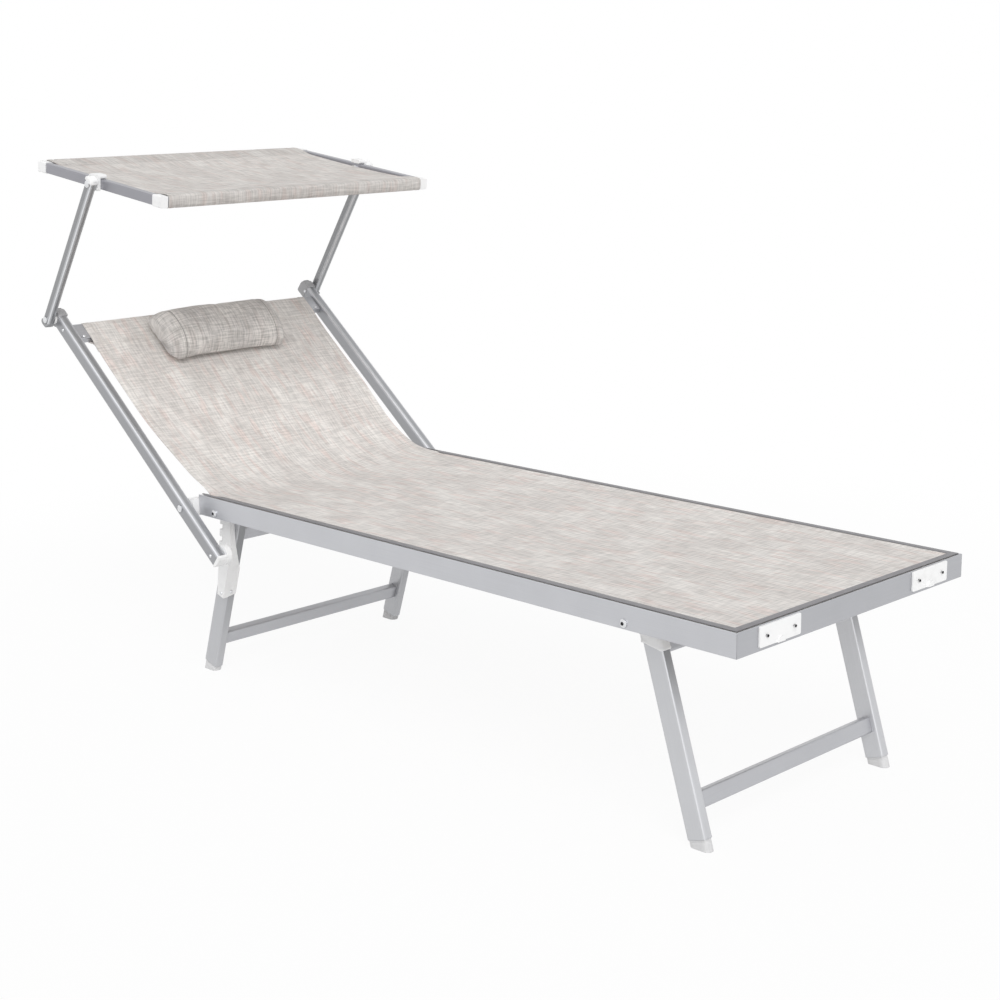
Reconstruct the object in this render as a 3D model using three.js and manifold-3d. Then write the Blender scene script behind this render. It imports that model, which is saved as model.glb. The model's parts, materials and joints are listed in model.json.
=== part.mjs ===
// Folding beach lounger with an adjustable backrest and a small tilting canopy.
// Millimetres, +Z up, +X towards the foot end, +Y to the left of the person lying on it.
// The lounger is laid out from the outer face of its foot rail, then centred on its own box.

import * as THREE from "three";
import { mergeVertices } from "three/addons/utils/BufferGeometryUtils.js";
import Module from "manifold-3d";

const wasm = await Module();
wasm.setup();

// Gaps
const clearance = 0.3;
const runningGap = 0.3;
const overrun = 5;

// Seat frame
const seatWidth = 600;
const seatLength = 1320;
const seatTop = 385;
const railHeight = 40;
const railWidth = 20;
const railWall = 1.6;
const railLip = 3;
const railGrooveWidth = 8;
const railGrooveDepth = 7;
const railShelfDrop = 1.5;
const railEdgeRadius = 1.2;

// White plates on the foot rail
const plateLength = 100;
const plateHeight = 33;
const plateDrop = 1;
const plateThickness = 3;
const plateFromRailEnd = 100;
const plateHoleSpacing = 67;
const plateHoleRadius = 2.5;
const plateCornerRadius = 3;
const plateBossRadius = 9;
const plateBossThickness = 3;

// Leg frames
const legSideGap = 30;
const legWidth = 38;
const legDepth = 20;
const legWall = 1.5;
const legCornerRadius = 5;
const legTopReach = 8;
const legPivotDrop = 30;
const frontPivotFromFoot = 217;
const rearPivotFromHead = 49;
const frontSplayDegrees = 17.1;
const rearSplayDegrees = 18.5;
const frontUpperBarDrop = 50;
const rearUpperBarDrop = 57;
const lowerBarHeight = 70;
const barWidth = 28;
const barDepth = 18;
const barRadius = 4;
const collarWall = 2;
const frontCollarReach = 24;
const rearCollarReach = 6;
const collarWave = 5;
const legBossRadius = 9;
const footHeight = 15;
const footBevel = 7;
const footPlugDepth = 22;
const footSink = 3;

// Toothed racks on the rear legs
const rackThickness = 12;
const rackTop = 12;
const rackShoulder = 34;
const rackWaist = 75;
const rackWrapTop = 127;
const rackBottom = 190;
const rackTopRear = -30;
const rackTopFront = 0;
const rackShoulderFront = 6;
const rackBottomRear = 2;
const rackWrapDepth = 18;
const rackNotchTop = 40;
const rackNotchHeight = 11;
const rackNotchPitch = 25;
const rackNotchDepth = 12;
const rackNotchCount = 4;
const rackHookRise = 5;

// Backrest
const backAngleDegrees = 39;
const backPivotBeyondRail = 14;
const backPivotDrop = 24;
const backRailSideGap = 15;
const backRailLength = 680;
const backRailBelowPivot = 137;
const backRailWidth = 30;
const backRailDepth = 20;
const backRailWall = 1.5;
const backRailRadius = 6;
const hingeBlockRadius = 17;
const hingePlugLength = 35;
const hingeBlockInset = 2;
const topTubeWidth = 42;
const topTubeDepth = 15;
const topTubeRadius = 3;
const topTubeFromTop = 60;
const endCapReach = 8;
const endCapPlugDepth = 30;
const stopPegRadius = 6;
const stopPegLength = 12;
const stopPegFromEnd = 10;
const stopDiscRadius = 20;
const topPlugFlange = 3;
const topPlugDepth = 24;

// Canopy arms
const armAngleDegrees = 55.5;
const armLength = 340;
const armWidth = 20.5;
const armDepth = 15.8;
const armWall = 1.6;
const armRadius = 5.5;
const armEndReach = 12;
const armSideGap = 6;
const armPivotFromTop = 11;

// Canopy
const canopyTiltDegrees = 7.55;
const canopyLength = 414;
const canopyArmGap = 6.5;
const canopyTubeHeight = 20;
const canopyTubeWidth = 15;
const canopyTubeWall = 1.4;
const canopyTubeRadius = 2.5;
const cornerReach = 27;
const cornerPlugDepth = 28;
const cornerShell = 1.2;
const clipLength = 36;
const clipAheadOfPivot = 12;
const clipRise = 8;
const clipDrop = 3;
const clipCapRadius = 7;
const clipCapHeight = 4;
const canopySag = 12;
const canopyClothGap = 7;

// Fabric
const slingSideMargin = 10;
const slingThickness = 1.5;
const slingFrontInset = 11;
const slingSeatEndFromHead = 50;
const slingBackSag = 3;
const slingBendStart = 150;
const slingBendRise = 5;
const slingFaceOffset = 3;
const kederRadius = 2.6;
const pillowLength = 330;
const pillowHeight = 116;
const pillowThickness = 62;
const pillowFromTopTube = 66;
const pillowEndShare = 0.45;
const pillowRearShare = 0.12;
const pillowFrontPower = 0.8;
const pillowEndHeightShare = 0.8;

// Bolts
const boltRadius = 4;
const boltHeadRadius = 7;
const boltHeadHeight = 4;
const boltCollarRadius = 9;

const halfSeat = seatWidth / 2;
const railInner = halfSeat - railWidth;
const railBase = seatTop - railHeight;
const legOuter = railInner - legSideGap;
const legInner = legOuter - legDepth;
const pivotHeight = seatTop - legPivotDrop;
const backInner = halfSeat + backRailSideGap;
const backOuter = backInner + backRailDepth;
const backPivot = { x: -seatLength - backPivotBeyondRail, z: seatTop - backPivotDrop };
const backTop = backRailLength - backRailBelowPivot;
const armPivot = backTop - armPivotFromTop;
const topTube = backTop - topTubeFromTop;
const armInner = backOuter + armSideGap;
const armOuter = armInner + armDepth;
const halfCanopy = canopyLength / 2;
const canopyOuter = armInner - canopyArmGap;
const canopyInner = canopyOuter - canopyTubeWidth;
const canopySide = (canopyInner + canopyOuter) / 2;
const halfSling = halfSeat - slingSideMargin;
const holeRadius = boltRadius + runningGap;
const stopPegHeight = stopPegFromEnd - backRailBelowPivot;
const sides = [["left", 1], ["right", -1]];
const degrees = THREE.MathUtils.degToRad;

const finishes = {
  aluminium: { color: 0xb9bcbe, roughness: 0.35, metalness: 1 },
  nylon: { color: 0xf2f2f0, roughness: 0.5, metalness: 0 },
  steel: { color: 0xc8cacc, roughness: 0.25, metalness: 1 },
  sling: { color: 0xdad5d0, roughness: 0.85, metalness: 0 },
  pillow: { color: 0xaca8a3, roughness: 0.9, metalness: 0 },
};

// Closed surfaces: merged points, no empty triangles, faces pointing out
function closed(geometry) {
  const bare = new THREE.BufferGeometry();
  bare.setAttribute("position", geometry.attributes.position.clone());
  if (geometry.index) bare.setIndex(geometry.index.clone());
  const merged = mergeVertices(bare, 1e-4);
  const point = (index) => new THREE.Vector3().fromBufferAttribute(merged.attributes.position, index);
  const kept = [];
  let volume = 0;
  for (let i = 0; i < merged.index.count; i += 3) {
    const [a, b, c] = [0, 1, 2].map((corner) => merged.index.getX(i + corner));
    if (a === b || b === c || c === a) continue;
    kept.push([a, b, c]);
    volume += point(a).dot(point(b).cross(point(c)));
  }
  const outward = volume < 0 ? kept.map(([a, b, c]) => [a, c, b]) : kept;
  merged.setIndex(outward.flat());
  return merged;
}

function toSolid(geometry) {
  const shell = closed(geometry);
  return new wasm.Manifold(new wasm.Mesh({
    numProp: 3,
    vertProperties: new Float32Array(shell.attributes.position.array),
    triVerts: new Uint32Array(shell.index.array),
  }));
}

function toGeometry(solid) {
  const mesh = solid.getMesh();
  const geometry = new THREE.BufferGeometry();
  geometry.setAttribute("position", new THREE.BufferAttribute(mesh.vertProperties, 3));
  geometry.setIndex(new THREE.BufferAttribute(mesh.triVerts, 1));
  return geometry;
}

const join = (first, ...others) =>
  toGeometry(others.reduce((sum, other) => sum.add(toSolid(other)), toSolid(first)));

const cut = (body, ...tools) =>
  toGeometry(tools.reduce((rest, tool) => rest.subtract(toSolid(tool)), toSolid(body)));

// Outlines
function roundedOutline(points, radius) {
  const shape = new THREE.Shape();
  const corners = points.map(([x, y]) => new THREE.Vector2(x, y));
  if (THREE.ShapeUtils.isClockWise(corners)) corners.reverse();
  corners.forEach((corner, i) => {
    const before = corners[(i + corners.length - 1) % corners.length];
    const after = corners[(i + 1) % corners.length];
    const toBefore = before.clone().sub(corner);
    const toAfter = after.clone().sub(corner);
    const reach = Math.min(radius, toBefore.length() / 2, toAfter.length() / 2);
    const start = corner.clone().add(toBefore.setLength(reach));
    const end = corner.clone().add(toAfter.setLength(reach));
    if (i === 0) shape.moveTo(start.x, start.y);
    else shape.lineTo(start.x, start.y);
    shape.quadraticCurveTo(corner.x, corner.y, end.x, end.y);
  });
  shape.closePath();
  return shape;
}

function bar(width, height, radius, x = 0, y = 0) {
  const [w, h] = [width / 2, height / 2];
  return roundedOutline([[x - w, y - h], [x + w, y - h], [x + w, y + h], [x - w, y + h]], radius);
}

function pipe(width, height, wall, radius) {
  const section = bar(width, height, radius);
  section.holes.push(bar(width - 2 * wall, height - 2 * wall, Math.max(radius - wall, wall / 2)));
  return section;
}

function plug(width, height, wall, radius) {
  const shrink = 2 * (wall + clearance);
  return bar(width - shrink, height - shrink, Math.max(radius - wall, wall));
}

// A band of even thickness below a curve of points
function band(points, thickness) {
  const lower = points.map((point, i) => {
    const before = points[Math.max(i - 1, 0)];
    const after = points[Math.min(i + 1, points.length - 1)];
    const run = after.clone().sub(before).normalize();
    return new THREE.Vector2(point.x - run.y * thickness, point.y + run.x * thickness);
  });
  return new THREE.Shape([...points, ...lower.reverse()]);
}

// Extrusions along each axis
const alongZ = (shape, from, to) =>
  new THREE.ExtrudeGeometry(shape, { depth: to - from, bevelEnabled: false, curveSegments: 3 })
    .translate(0, 0, from);

function alongX(shape, from, to) {
  const turn = new THREE.Matrix4().makeBasis(
    new THREE.Vector3(0, 1, 0), new THREE.Vector3(0, 0, 1), new THREE.Vector3(1, 0, 0));
  return alongZ(shape, from, to).applyMatrix4(turn);
}

const acrossY = (shape, from, to) =>
  alongZ(shape, 0, to - from).rotateX(Math.PI / 2).translate(0, to, 0);

const sideways = (shape, inner, outer, side) =>
  side > 0 ? acrossY(shape, inner, outer) : acrossY(shape, -outer, -inner);

const pinCutter = (radius, inner, outer, side, x = 0, z = 0) =>
  new THREE.CylinderGeometry(radius, radius, outer - inner + 2 * overrun, 16)
    .translate(x, side * (inner + outer) / 2, z);

function piece(name, geometry, finish) {
  const mesh = new THREE.Mesh(closed(geometry), new THREE.MeshStandardMaterial(finishes[finish]));
  mesh.name = name;
  return mesh;
}

// Turned pieces: a profile of radius and distance from the centre plane, spun about Y
function turned(profile, side) {
  const lathe = new THREE.LatheGeometry(profile.map(([r, y]) => new THREE.Vector2(r, y)), 16);
  return side > 0 ? lathe : lathe.rotateX(Math.PI);
}

const boltHead = (face) => [
  [boltRadius, face + clearance], [boltHeadRadius, face + clearance],
  [boltHeadRadius, face + boltHeadHeight / 2], [boltHeadRadius / 2, face + boltHeadHeight],
  [0, face + boltHeadHeight],
];

const plainBolt = (inner, face, side) => turned([[0, inner], [boltRadius, inner], ...boltHead(face)], side);

// Seat frame
function railSection(place) {
  const shelf = railWidth - railLip - railGrooveWidth;
  const floor = railHeight - railGrooveDepth;
  const outline = [
    [0, 0], [railWidth, 0], [railWidth, railHeight], [railWidth - railLip, railHeight],
    [railWidth - railLip, floor], [shelf, floor],
    [shelf, railHeight - railShelfDrop], [0, railHeight - railShelfDrop],
  ];
  const hollow = [
    [railWall, railWall], [railWidth - railWall, railWall],
    [railWidth - railWall, floor - railWall], [shelf - railWall, floor - railWall],
    [shelf - railWall, railHeight - railShelfDrop - railWall],
    [railWall, railHeight - railShelfDrop - railWall],
  ];
  const section = roundedOutline(outline.map(place), railEdgeRadius);
  section.holes.push(new THREE.Shape(hollow.map((point) => new THREE.Vector2(...place(point)))));
  return section;
}

function mitred(geometry, isFootRail) {
  const points = geometry.attributes.position;
  const gap = clearance / 2;
  for (let i = 0; i < points.count; i += 1) {
    const [x, y] = [points.getX(i), points.getY(i)];
    if (isFootRail) points.setY(i, Math.sign(y) * (halfSeat + x - gap));
    else if (x > -railWidth) points.setX(i, Math.abs(y) - halfSeat - gap);
  }
  return geometry;
}

function seatRail(side) {
  const section = railSection(([out, up]) => [side * (railInner + out), railBase + up]);
  const rail = mitred(alongX(section, -seatLength, 0), false);
  const pivots = [-frontPivotFromFoot, -seatLength + rearPivotFromHead];
  return cut(rail, ...pivots.map((x) => pinCutter(holeRadius, railInner, halfSeat, side, x, pivotHeight)));
}

function footRail() {
  const section = railSection(([out, up]) => [out - railWidth, railBase + up]);
  return mitred(acrossY(section, -halfSeat, halfSeat), true);
}

function footPlate(side) {
  const centre = side * (halfSeat - plateFromRailEnd);
  const middle = seatTop - plateDrop - plateHeight / 2;
  const face = clearance + plateThickness;
  const plate = alongX(bar(plateLength, plateHeight, plateCornerRadius, centre, middle), clearance, face);
  const boss = new THREE.Shape();
  boss.absarc(centre, middle - plateHeight / 2, plateBossRadius, 0, Math.PI);
  const holes = [-1, 1].map((end) =>
    new THREE.CylinderGeometry(plateHoleRadius, plateHoleRadius, face + overrun, 12)
      .rotateZ(Math.PI / 2).translate(face / 2, centre + end * plateHoleSpacing / 2, middle));
  return cut(join(plate, alongX(boss, clearance, face + plateBossThickness)), ...holes);
}

// White block in the open end of each seat rail: it carries the backrest's pivot
function hingeBlock(side) {
  const inner = railInner + hingeBlockInset;
  const end = -seatLength - clearance;
  const cheek = new THREE.Shape();
  cheek.moveTo(end, backPivot.z + hingeBlockRadius);
  cheek.lineTo(end, backPivot.z - hingeBlockRadius);
  cheek.lineTo(backPivot.x, backPivot.z - hingeBlockRadius);
  cheek.absarc(backPivot.x, backPivot.z, hingeBlockRadius, -Math.PI / 2, Math.PI / 2, true);
  const plugInset = railWall + clearance;
  const plugHeight = railHeight - railGrooveDepth - 2 * plugInset;
  const plugSection = bar(railWidth - 2 * plugInset, plugHeight - railWall, railWall,
    side * (railInner + railWidth / 2), railBase + plugInset + (plugHeight - railWall) / 2);
  const body = join(
    sideways(cheek, inner, backInner - clearance, side),
    alongX(plugSection, end - hingeBlockInset, end + hingePlugLength),
  );
  return cut(body, pinCutter(holeRadius, inner, backInner, side, backPivot.x, backPivot.z));
}

function seatSling() {
  const under = seatTop - railShelfDrop + clearance;
  const top = under + slingThickness;
  const neck = halfSeat - railLip - railGrooveWidth / 2;
  const bulb = seatTop - railGrooveDepth + clearance + kederRadius;
  const halfNeck = slingThickness / 2;
  const turn = Math.acos(halfNeck / kederRadius);
  const shape = new THREE.Shape();
  shape.moveTo(-neck - halfNeck, top);
  shape.lineTo(neck + halfNeck, top);
  shape.absarc(neck, bulb, kederRadius, turn, Math.PI - turn, true);
  shape.lineTo(neck - halfNeck, under);
  shape.lineTo(halfNeck - neck, under);
  shape.absarc(-neck, bulb, kederRadius, turn, Math.PI - turn, true);
  shape.closePath();
  const rear = -seatLength + slingSeatEndFromHead;
  return alongX(shape, rear, -slingFrontInset);
}

function seatFrame() {
  const group = new THREE.Group();
  group.add(piece("foot_rail", footRail(), "aluminium"));
  for (const [name, side] of sides) {
    group.add(piece(`seat_rail_${name}`, seatRail(side), "aluminium"));
    group.add(piece(`foot_plate_${name}`, footPlate(side), "nylon"));
    group.add(piece(`hinge_block_${name}`, hingeBlock(side), "nylon"));
    for (const [end, x] of [["front", -frontPivotFromFoot], ["rear", -seatLength + rearPivotFromHead]]) {
      const bolt = plainBolt(legInner + legDepth / 2, halfSeat, side);
      group.add(piece(`${end}_leg_bolt_${name}`, bolt.translate(x, 0, pivotHeight), "steel"));
    }
  }
  group.add(piece("seat_sling", seatSling(), "sling"));
  return group;
}

// Leg frames, drawn with the pivot at the origin and the leg running down -Z
function legSleeve(side, wall, bottom, top) {
  const [width, depth] = [legWidth, legDepth].map((size) => size + 2 * (clearance + wall));
  return alongZ(bar(width, depth, legCornerRadius), bottom, top)
    .translate(0, side * (legInner + legDepth / 2), 0);
}

// White collar on the leg's top, closed above and wavy below, with a boss against the seat rail
function legHead(side, reach) {
  const below = new THREE.Shape();
  below.moveTo(-legWidth, -reach);
  below.quadraticCurveTo(-legWidth / 2, -reach - collarWave, 0, -reach);
  below.quadraticCurveTo(legWidth / 2, -reach + collarWave, legWidth, -reach);
  below.lineTo(legWidth, -reach - legWidth);
  below.lineTo(-legWidth, -reach - legWidth);
  const collar = legSleeve(side, collarWall, -reach - collarWave, legTopReach + clearance + collarWall);
  const boss = new THREE.CylinderGeometry(legBossRadius, legBossRadius, legSideGap - 2 * clearance, 20)
    .translate(0, side * (legOuter + railInner) / 2, 0);
  return cut(join(collar, boss),
    legSleeve(side, 0, -reach - collarWave - overrun, legTopReach + clearance),
    acrossY(below, -halfSeat, halfSeat),
    pinCutter(holeRadius, legOuter, railInner, side));
}

function legTube(side, bottom) {
  const centre = side * (legInner + legDepth / 2);
  const tube = alongZ(pipe(legWidth, legDepth, legWall, legCornerRadius), bottom, legTopReach)
    .translate(0, centre, 0);
  return cut(tube, pinCutter(holeRadius, legInner + legDepth / 2, legOuter, side));
}

function legFoot(side, bottom, splay) {
  const centre = side * (legInner + legDepth / 2);
  const core = bar(legWidth - 2 * footBevel, legDepth - 2 * footBevel, legCornerRadius);
  const cap = new THREE.ExtrudeGeometry(core, {
    depth: footHeight + footSink, bevelThickness: footBevel, bevelSize: footBevel,
    bevelSegments: 3, curveSegments: 3,
  }).translate(0, centre, bottom - clearance - footBevel - footHeight - footSink);
  const stem = alongZ(plug(legWidth, legDepth, legWall, legCornerRadius),
    bottom - footHeight, bottom + footPlugDepth).translate(0, centre, 0);
  const ground = new THREE.BoxGeometry(seatWidth, seatWidth, seatWidth)
    .translate(0, 0, -pivotHeight - seatWidth / 2).rotateY(splay);
  return cut(join(cap, stem), ground);
}

function crossBar(z) {
  return acrossY(bar(barDepth, barWidth, barRadius, 0, z), clearance - legInner, legInner - clearance);
}

// Plate on the leg's outer face, notched along its rear edge and wrapped round the leg's front
function rack(side) {
  const front = legWidth / 2 + clearance + collarWall;
  const plate = new THREE.Shape([
    [rackBottomRear, -rackBottom], [front, -rackBottom], [front, -rackWaist],
    [rackShoulderFront, -rackShoulder], [rackTopFront, -rackTop], [rackTopRear, -rackTop],
  ].map((point) => new THREE.Vector2(...point)));
  const wrap = new THREE.Shape([
    [legOuter + rackThickness / 2, -rackBottom], [legOuter - rackWrapDepth, -rackBottom + collarWave],
    [legOuter - rackWrapDepth, -rackWrapTop], [legOuter, -rackWaist],
    [legOuter + rackThickness / 2, -rackWaist],
  ].map(([y, z]) => new THREE.Vector2(side * y, z)));
  const lean = (rackBottomRear - rackTopRear) / (rackBottom - rackTop);
  const notches = Array.from({ length: rackNotchCount }, (_, i) => {
    const top = -rackNotchTop - i * rackNotchPitch;
    const edge = rackTopRear - (top + rackTop) * lean;
    const slot = roundedOutline([
      [edge - overrun, top - rackHookRise], [edge + rackNotchDepth, top],
      [edge + rackNotchDepth, top - rackNotchHeight], [edge - overrun, top - rackNotchHeight - rackHookRise],
    ], rackNotchHeight / 3);
    return sideways(slot, legOuter + rackThickness / 2, legOuter + rackThickness + overrun, side);
  });
  return cut(join(sideways(plate, legOuter + clearance, legOuter + rackThickness, side),
    alongX(wrap, front - collarWall, front)), ...notches);
}

function legFrame(end, x, splay, upperBarDrop, collarReach) {
  const group = new THREE.Group();
  const reach = (height) => -(pivotHeight - height) / Math.cos(splay);
  const bottom = reach(footHeight);
  for (const [name, side] of sides) {
    group.add(piece(`${end}_leg_${name}`, legTube(side, bottom), "aluminium"));
    group.add(piece(`${end}_leg_head_${name}`, legHead(side, collarReach), "nylon"));
    group.add(piece(`${end}_foot_${name}`, legFoot(side, bottom, splay), "nylon"));
    if (end === "rear") group.add(piece(`rack_${name}`, rack(side), "nylon"));
  }
  group.add(piece(`${end}_upper_bar`, crossBar(-upperBarDrop), "aluminium"));
  group.add(piece(`${end}_lower_bar`, crossBar(reach(lowerBarHeight)), "aluminium"));
  group.position.set(x, 0, pivotHeight);
  group.rotation.y = -splay;
  return group;
}

// Backrest, drawn with its pivot at the origin, its rails along Z and its front towards +X
function backRail(side) {
  const middle = backInner + backRailDepth / 2;
  const section = pipe(backRailWidth, backRailDepth, backRailWall, backRailRadius);
  const rail = alongZ(section, -backRailBelowPivot, backTop).translate(0, side * middle, 0);
  const holes = [0, armPivot].map((z) => pinCutter(holeRadius, backInner, backOuter, side, 0, z));
  const pegHole = pinCutter(stopPegRadius + clearance, backInner, middle, side, 0, stopPegHeight);
  return cut(rail, ...holes, pegHole);
}

// Rounded cap with a peg, whose round disc on the inner face meets the rack
function backEndCap(side) {
  const middle = side * (backInner + backRailDepth / 2);
  const end = -backRailBelowPivot;
  const half = backRailWidth / 2;
  const cap = new THREE.Shape();
  cap.moveTo(half, end - clearance);
  cap.lineTo(-half, end - clearance);
  cap.quadraticCurveTo(-half, end - endCapReach, 0, end - endCapReach);
  cap.quadraticCurveTo(half, end - endCapReach, half, end - clearance);
  const stem = alongZ(plug(backRailWidth, backRailDepth, backRailWall, backRailRadius),
    end - endCapReach / 2, end + endCapPlugDepth).translate(0, middle, 0);
  const pegLength = stopPegLength + backRailDepth / 2;
  const peg = new THREE.CylinderGeometry(stopPegRadius, stopPegRadius, pegLength, 16)
    .translate(0, middle - side * pegLength / 2, stopPegHeight);
  const disc = new THREE.CylinderGeometry(stopDiscRadius, stopDiscRadius, stopPegLength - clearance, 28)
    .translate(0, side * (backInner - (stopPegLength + clearance) / 2), stopPegHeight);
  return join(sideways(cap, backInner, backOuter, side), stem, peg, disc);
}

function railTopPlug(side) {
  const middle = side * (backInner + backRailDepth / 2);
  const flange = alongZ(bar(backRailWidth, backRailDepth, backRailRadius), backTop + clearance,
    backTop + clearance + topPlugFlange);
  const stem = alongZ(plug(backRailWidth, backRailDepth, backRailWall, backRailRadius),
    backTop - topPlugDepth, backTop + topPlugFlange / 2);
  return cut(join(flange, stem).translate(0, middle, 0),
    pinCutter(holeRadius, backInner, backOuter, side, 0, armPivot));
}

// A point of the seat's plane, as the backrest's drawing sees it
const onBackrest = (x, z) => {
  const tilt = degrees(backAngleDegrees - 90);
  return new THREE.Vector2(x - backPivot.x, z - backPivot.z).rotateAround(new THREE.Vector2(), tilt);
};

// The band's front face runs from the top tube's sleeve down to the bend
function backSling() {
  const inner = [topTubeDepth + 2 * clearance, topTubeWidth + 2 * clearance];
  const outer = inner.map((size) => size + 2 * slingThickness);
  const corner = topTubeRadius + slingThickness;
  const sleeve = bar(...outer, corner, 0, topTube);
  sleeve.holes.push(bar(...inner, topTubeRadius, 0, topTube));
  const top = new THREE.Vector2(outer[0] / 2, topTube - outer[1] / 2 + corner);
  const foot = new THREE.Vector2(slingFaceOffset, slingBendStart + clearance);
  const middle = top.clone().add(foot).multiplyScalar(1 / 2).add(new THREE.Vector2(-slingBackSag, 0));
  const curve = new THREE.QuadraticBezierCurve(foot, middle, top);
  const sheet = band(curve.getPoints(10), slingThickness);
  return join(acrossY(sleeve, -halfSling, halfSling), acrossY(sheet, -halfSling, halfSling));
}

// The bend goes on from there to the seat's rear edge
function slingBend() {
  const top = new THREE.Vector2(slingFaceOffset, slingBendStart);
  const rear = -seatLength + slingSeatEndFromHead - clearance;
  const height = seatTop - railShelfDrop + clearance + slingThickness;
  const foot = onBackrest(rear, height);
  const lead = slingSeatEndFromHead;
  const curve = new THREE.CubicBezierCurve(
    foot, onBackrest(rear - lead, height + slingBendRise),
    top.clone().add(new THREE.Vector2(0, -slingBendStart / 2)), top);
  return acrossY(band(curve.getPoints(14), slingThickness), -halfSling, halfSling);
}

// A filled roll: flat against the sling, crowned in front, drawn in towards its ends
function pillow() {
  const rings = 14;
  const steps = 20;
  const back = topTubeDepth / 2 + slingThickness - 2 * clearance;
  const middle = topTube - pillowFromTopTube;
  const positions = [];
  const triangles = [];
  for (let ring = 0; ring <= rings; ring += 1) {
    const along = -Math.cos(Math.PI * ring / rings);
    const swell = pillowEndShare + (1 - pillowEndShare) * Math.sqrt(1 - along ** 4);
    const rise = pillowHeight / 2 * (pillowEndHeightShare + (1 - pillowEndHeightShare) * swell);
    for (let step = 0; step < steps; step += 1) {
      const angle = 2 * Math.PI * step / steps;
      const front = Math.max(Math.cos(angle), 0) ** pillowFrontPower * (1 - pillowRearShare);
      const behind = Math.min(Math.cos(angle), 0) * pillowRearShare;
      const x = back + pillowThickness * (pillowRearShare + (front + behind) * swell);
      positions.push(x, along * pillowLength / 2, middle + rise * Math.sin(angle));
    }
  }
  const corner = (ring, step) => ring * steps + (step % steps);
  for (let ring = 0; ring < rings; ring += 1) {
    for (let step = 0; step < steps; step += 1) {
      const [a, b] = [corner(ring, step), corner(ring, step + 1)];
      const [c, d] = [corner(ring + 1, step), corner(ring + 1, step + 1)];
      triangles.push(a, b, d, a, d, c);
    }
  }
  for (const [ring, flip] of [[0, false], [rings, true]]) {
    for (let step = 1; step < steps - 1; step += 1) {
      const fan = [corner(ring, 0), corner(ring, step), corner(ring, step + 1)];
      triangles.push(...(flip ? fan : fan.reverse()));
    }
  }
  const geometry = new THREE.BufferGeometry();
  geometry.setAttribute("position", new THREE.Float32BufferAttribute(positions, 3));
  geometry.setIndex(triangles);
  return geometry;
}

function backrest() {
  const group = new THREE.Group();
  const span = backInner - clearance;
  const tube = acrossY(pipe(topTubeDepth, topTubeWidth, backRailWall, topTubeRadius), -span, span);
  group.add(piece("top_cross_tube", tube.translate(0, 0, topTube), "aluminium"));
  for (const [name, side] of sides) {
    group.add(piece(`back_rail_${name}`, backRail(side), "aluminium"));
    group.add(piece(`back_end_cap_${name}`, backEndCap(side), "nylon"));
    group.add(piece(`rail_top_plug_${name}`, railTopPlug(side), "nylon"));
    const bolt = plainBolt(railInner + 2 * hingeBlockInset, backOuter, side);
    group.add(piece(`back_pivot_bolt_${name}`, bolt, "steel"));
  }
  group.add(piece("back_sling", backSling(), "sling"));
  group.add(piece("sling_bend", slingBend(), "sling"));
  group.add(piece("pillow", pillow(), "pillow"));
  group.position.set(backPivot.x, 0, backPivot.z);
  group.rotation.y = degrees(backAngleDegrees - 90);
  return group;
}

// Canopy arms, drawn with the lower pivot at the origin and the arm up Z
function arm(side) {
  const tube = alongZ(pipe(armWidth, armDepth, armWall, armRadius), -armEndReach, armLength + armEndReach)
    .translate(0, side * (armInner + armDepth / 2), 0);
  return cut(tube, ...[0, armLength].map((z) => pinCutter(holeRadius, armInner, armOuter, side, 0, z)));
}

function armPair() {
  const group = new THREE.Group();
  for (const [name, side] of sides) {
    group.add(piece(`canopy_arm_${name}`, arm(side), "aluminium"));
    group.add(piece(`arm_bolt_${name}`, armBolt(side), "steel"));
  }
  return group;
}

// Shoulder bolt: its collar keeps the arm off the backrest rail
const armBolt = (side) => turned([
  [0, backInner + 2 * backRailWall], [boltRadius, backInner + 2 * backRailWall],
  [boltRadius, backOuter + clearance], [boltCollarRadius, backOuter + clearance],
  [boltCollarRadius, armInner - clearance], [boltRadius, armInner - clearance],
  ...boltHead(armOuter),
], side);

// Canopy, drawn with its pivot at the origin, front towards +X
function canopySideTube(side) {
  const reach = halfCanopy + canopyTubeWidth / 2 - cornerReach - clearance;
  const section = pipe(canopyTubeWidth, canopyTubeHeight, canopyTubeWall, canopyTubeRadius);
  const tube = alongX(section, -reach, reach).translate(0, side * canopySide, 0);
  return cut(tube, pinCutter(holeRadius, canopyInner, canopyOuter, side));
}

function canopyCrossTube(end) {
  const reach = canopyInner - 2 * cornerShell - clearance;
  const tube = pipe(canopyTubeWidth, canopyTubeHeight, canopyTubeWall, canopyTubeRadius);
  return acrossY(tube, -reach, reach).translate(end * halfCanopy, 0, 0);
}

function canopyCorner(end, side) {
  const face = halfCanopy + canopyTubeWidth / 2 + cornerShell;
  const back = face - cornerReach;
  const shell = 2 * cornerShell;
  const width = canopyTubeWidth + shell;
  const height = canopyTubeHeight + shell;
  const block = alongX(bar(width, height, canopyTubeRadius), back, face).translate(0, side * canopySide, 0);
  const stem = plug(canopyTubeWidth, canopyTubeHeight, canopyTubeWall, canopyTubeRadius);
  const sideStem = alongX(stem, back - cornerPlugDepth, face - cornerShell)
    .translate(0, side * canopySide, 0);
  const crossStem = sideways(stem, canopyInner - cornerPlugDepth, canopySide, side)
    .translate(halfCanopy, 0, 0);
  const corner = join(block, sideStem, crossStem);
  return end > 0 ? corner : corner.scale(-1, 1, 1);
}

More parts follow.
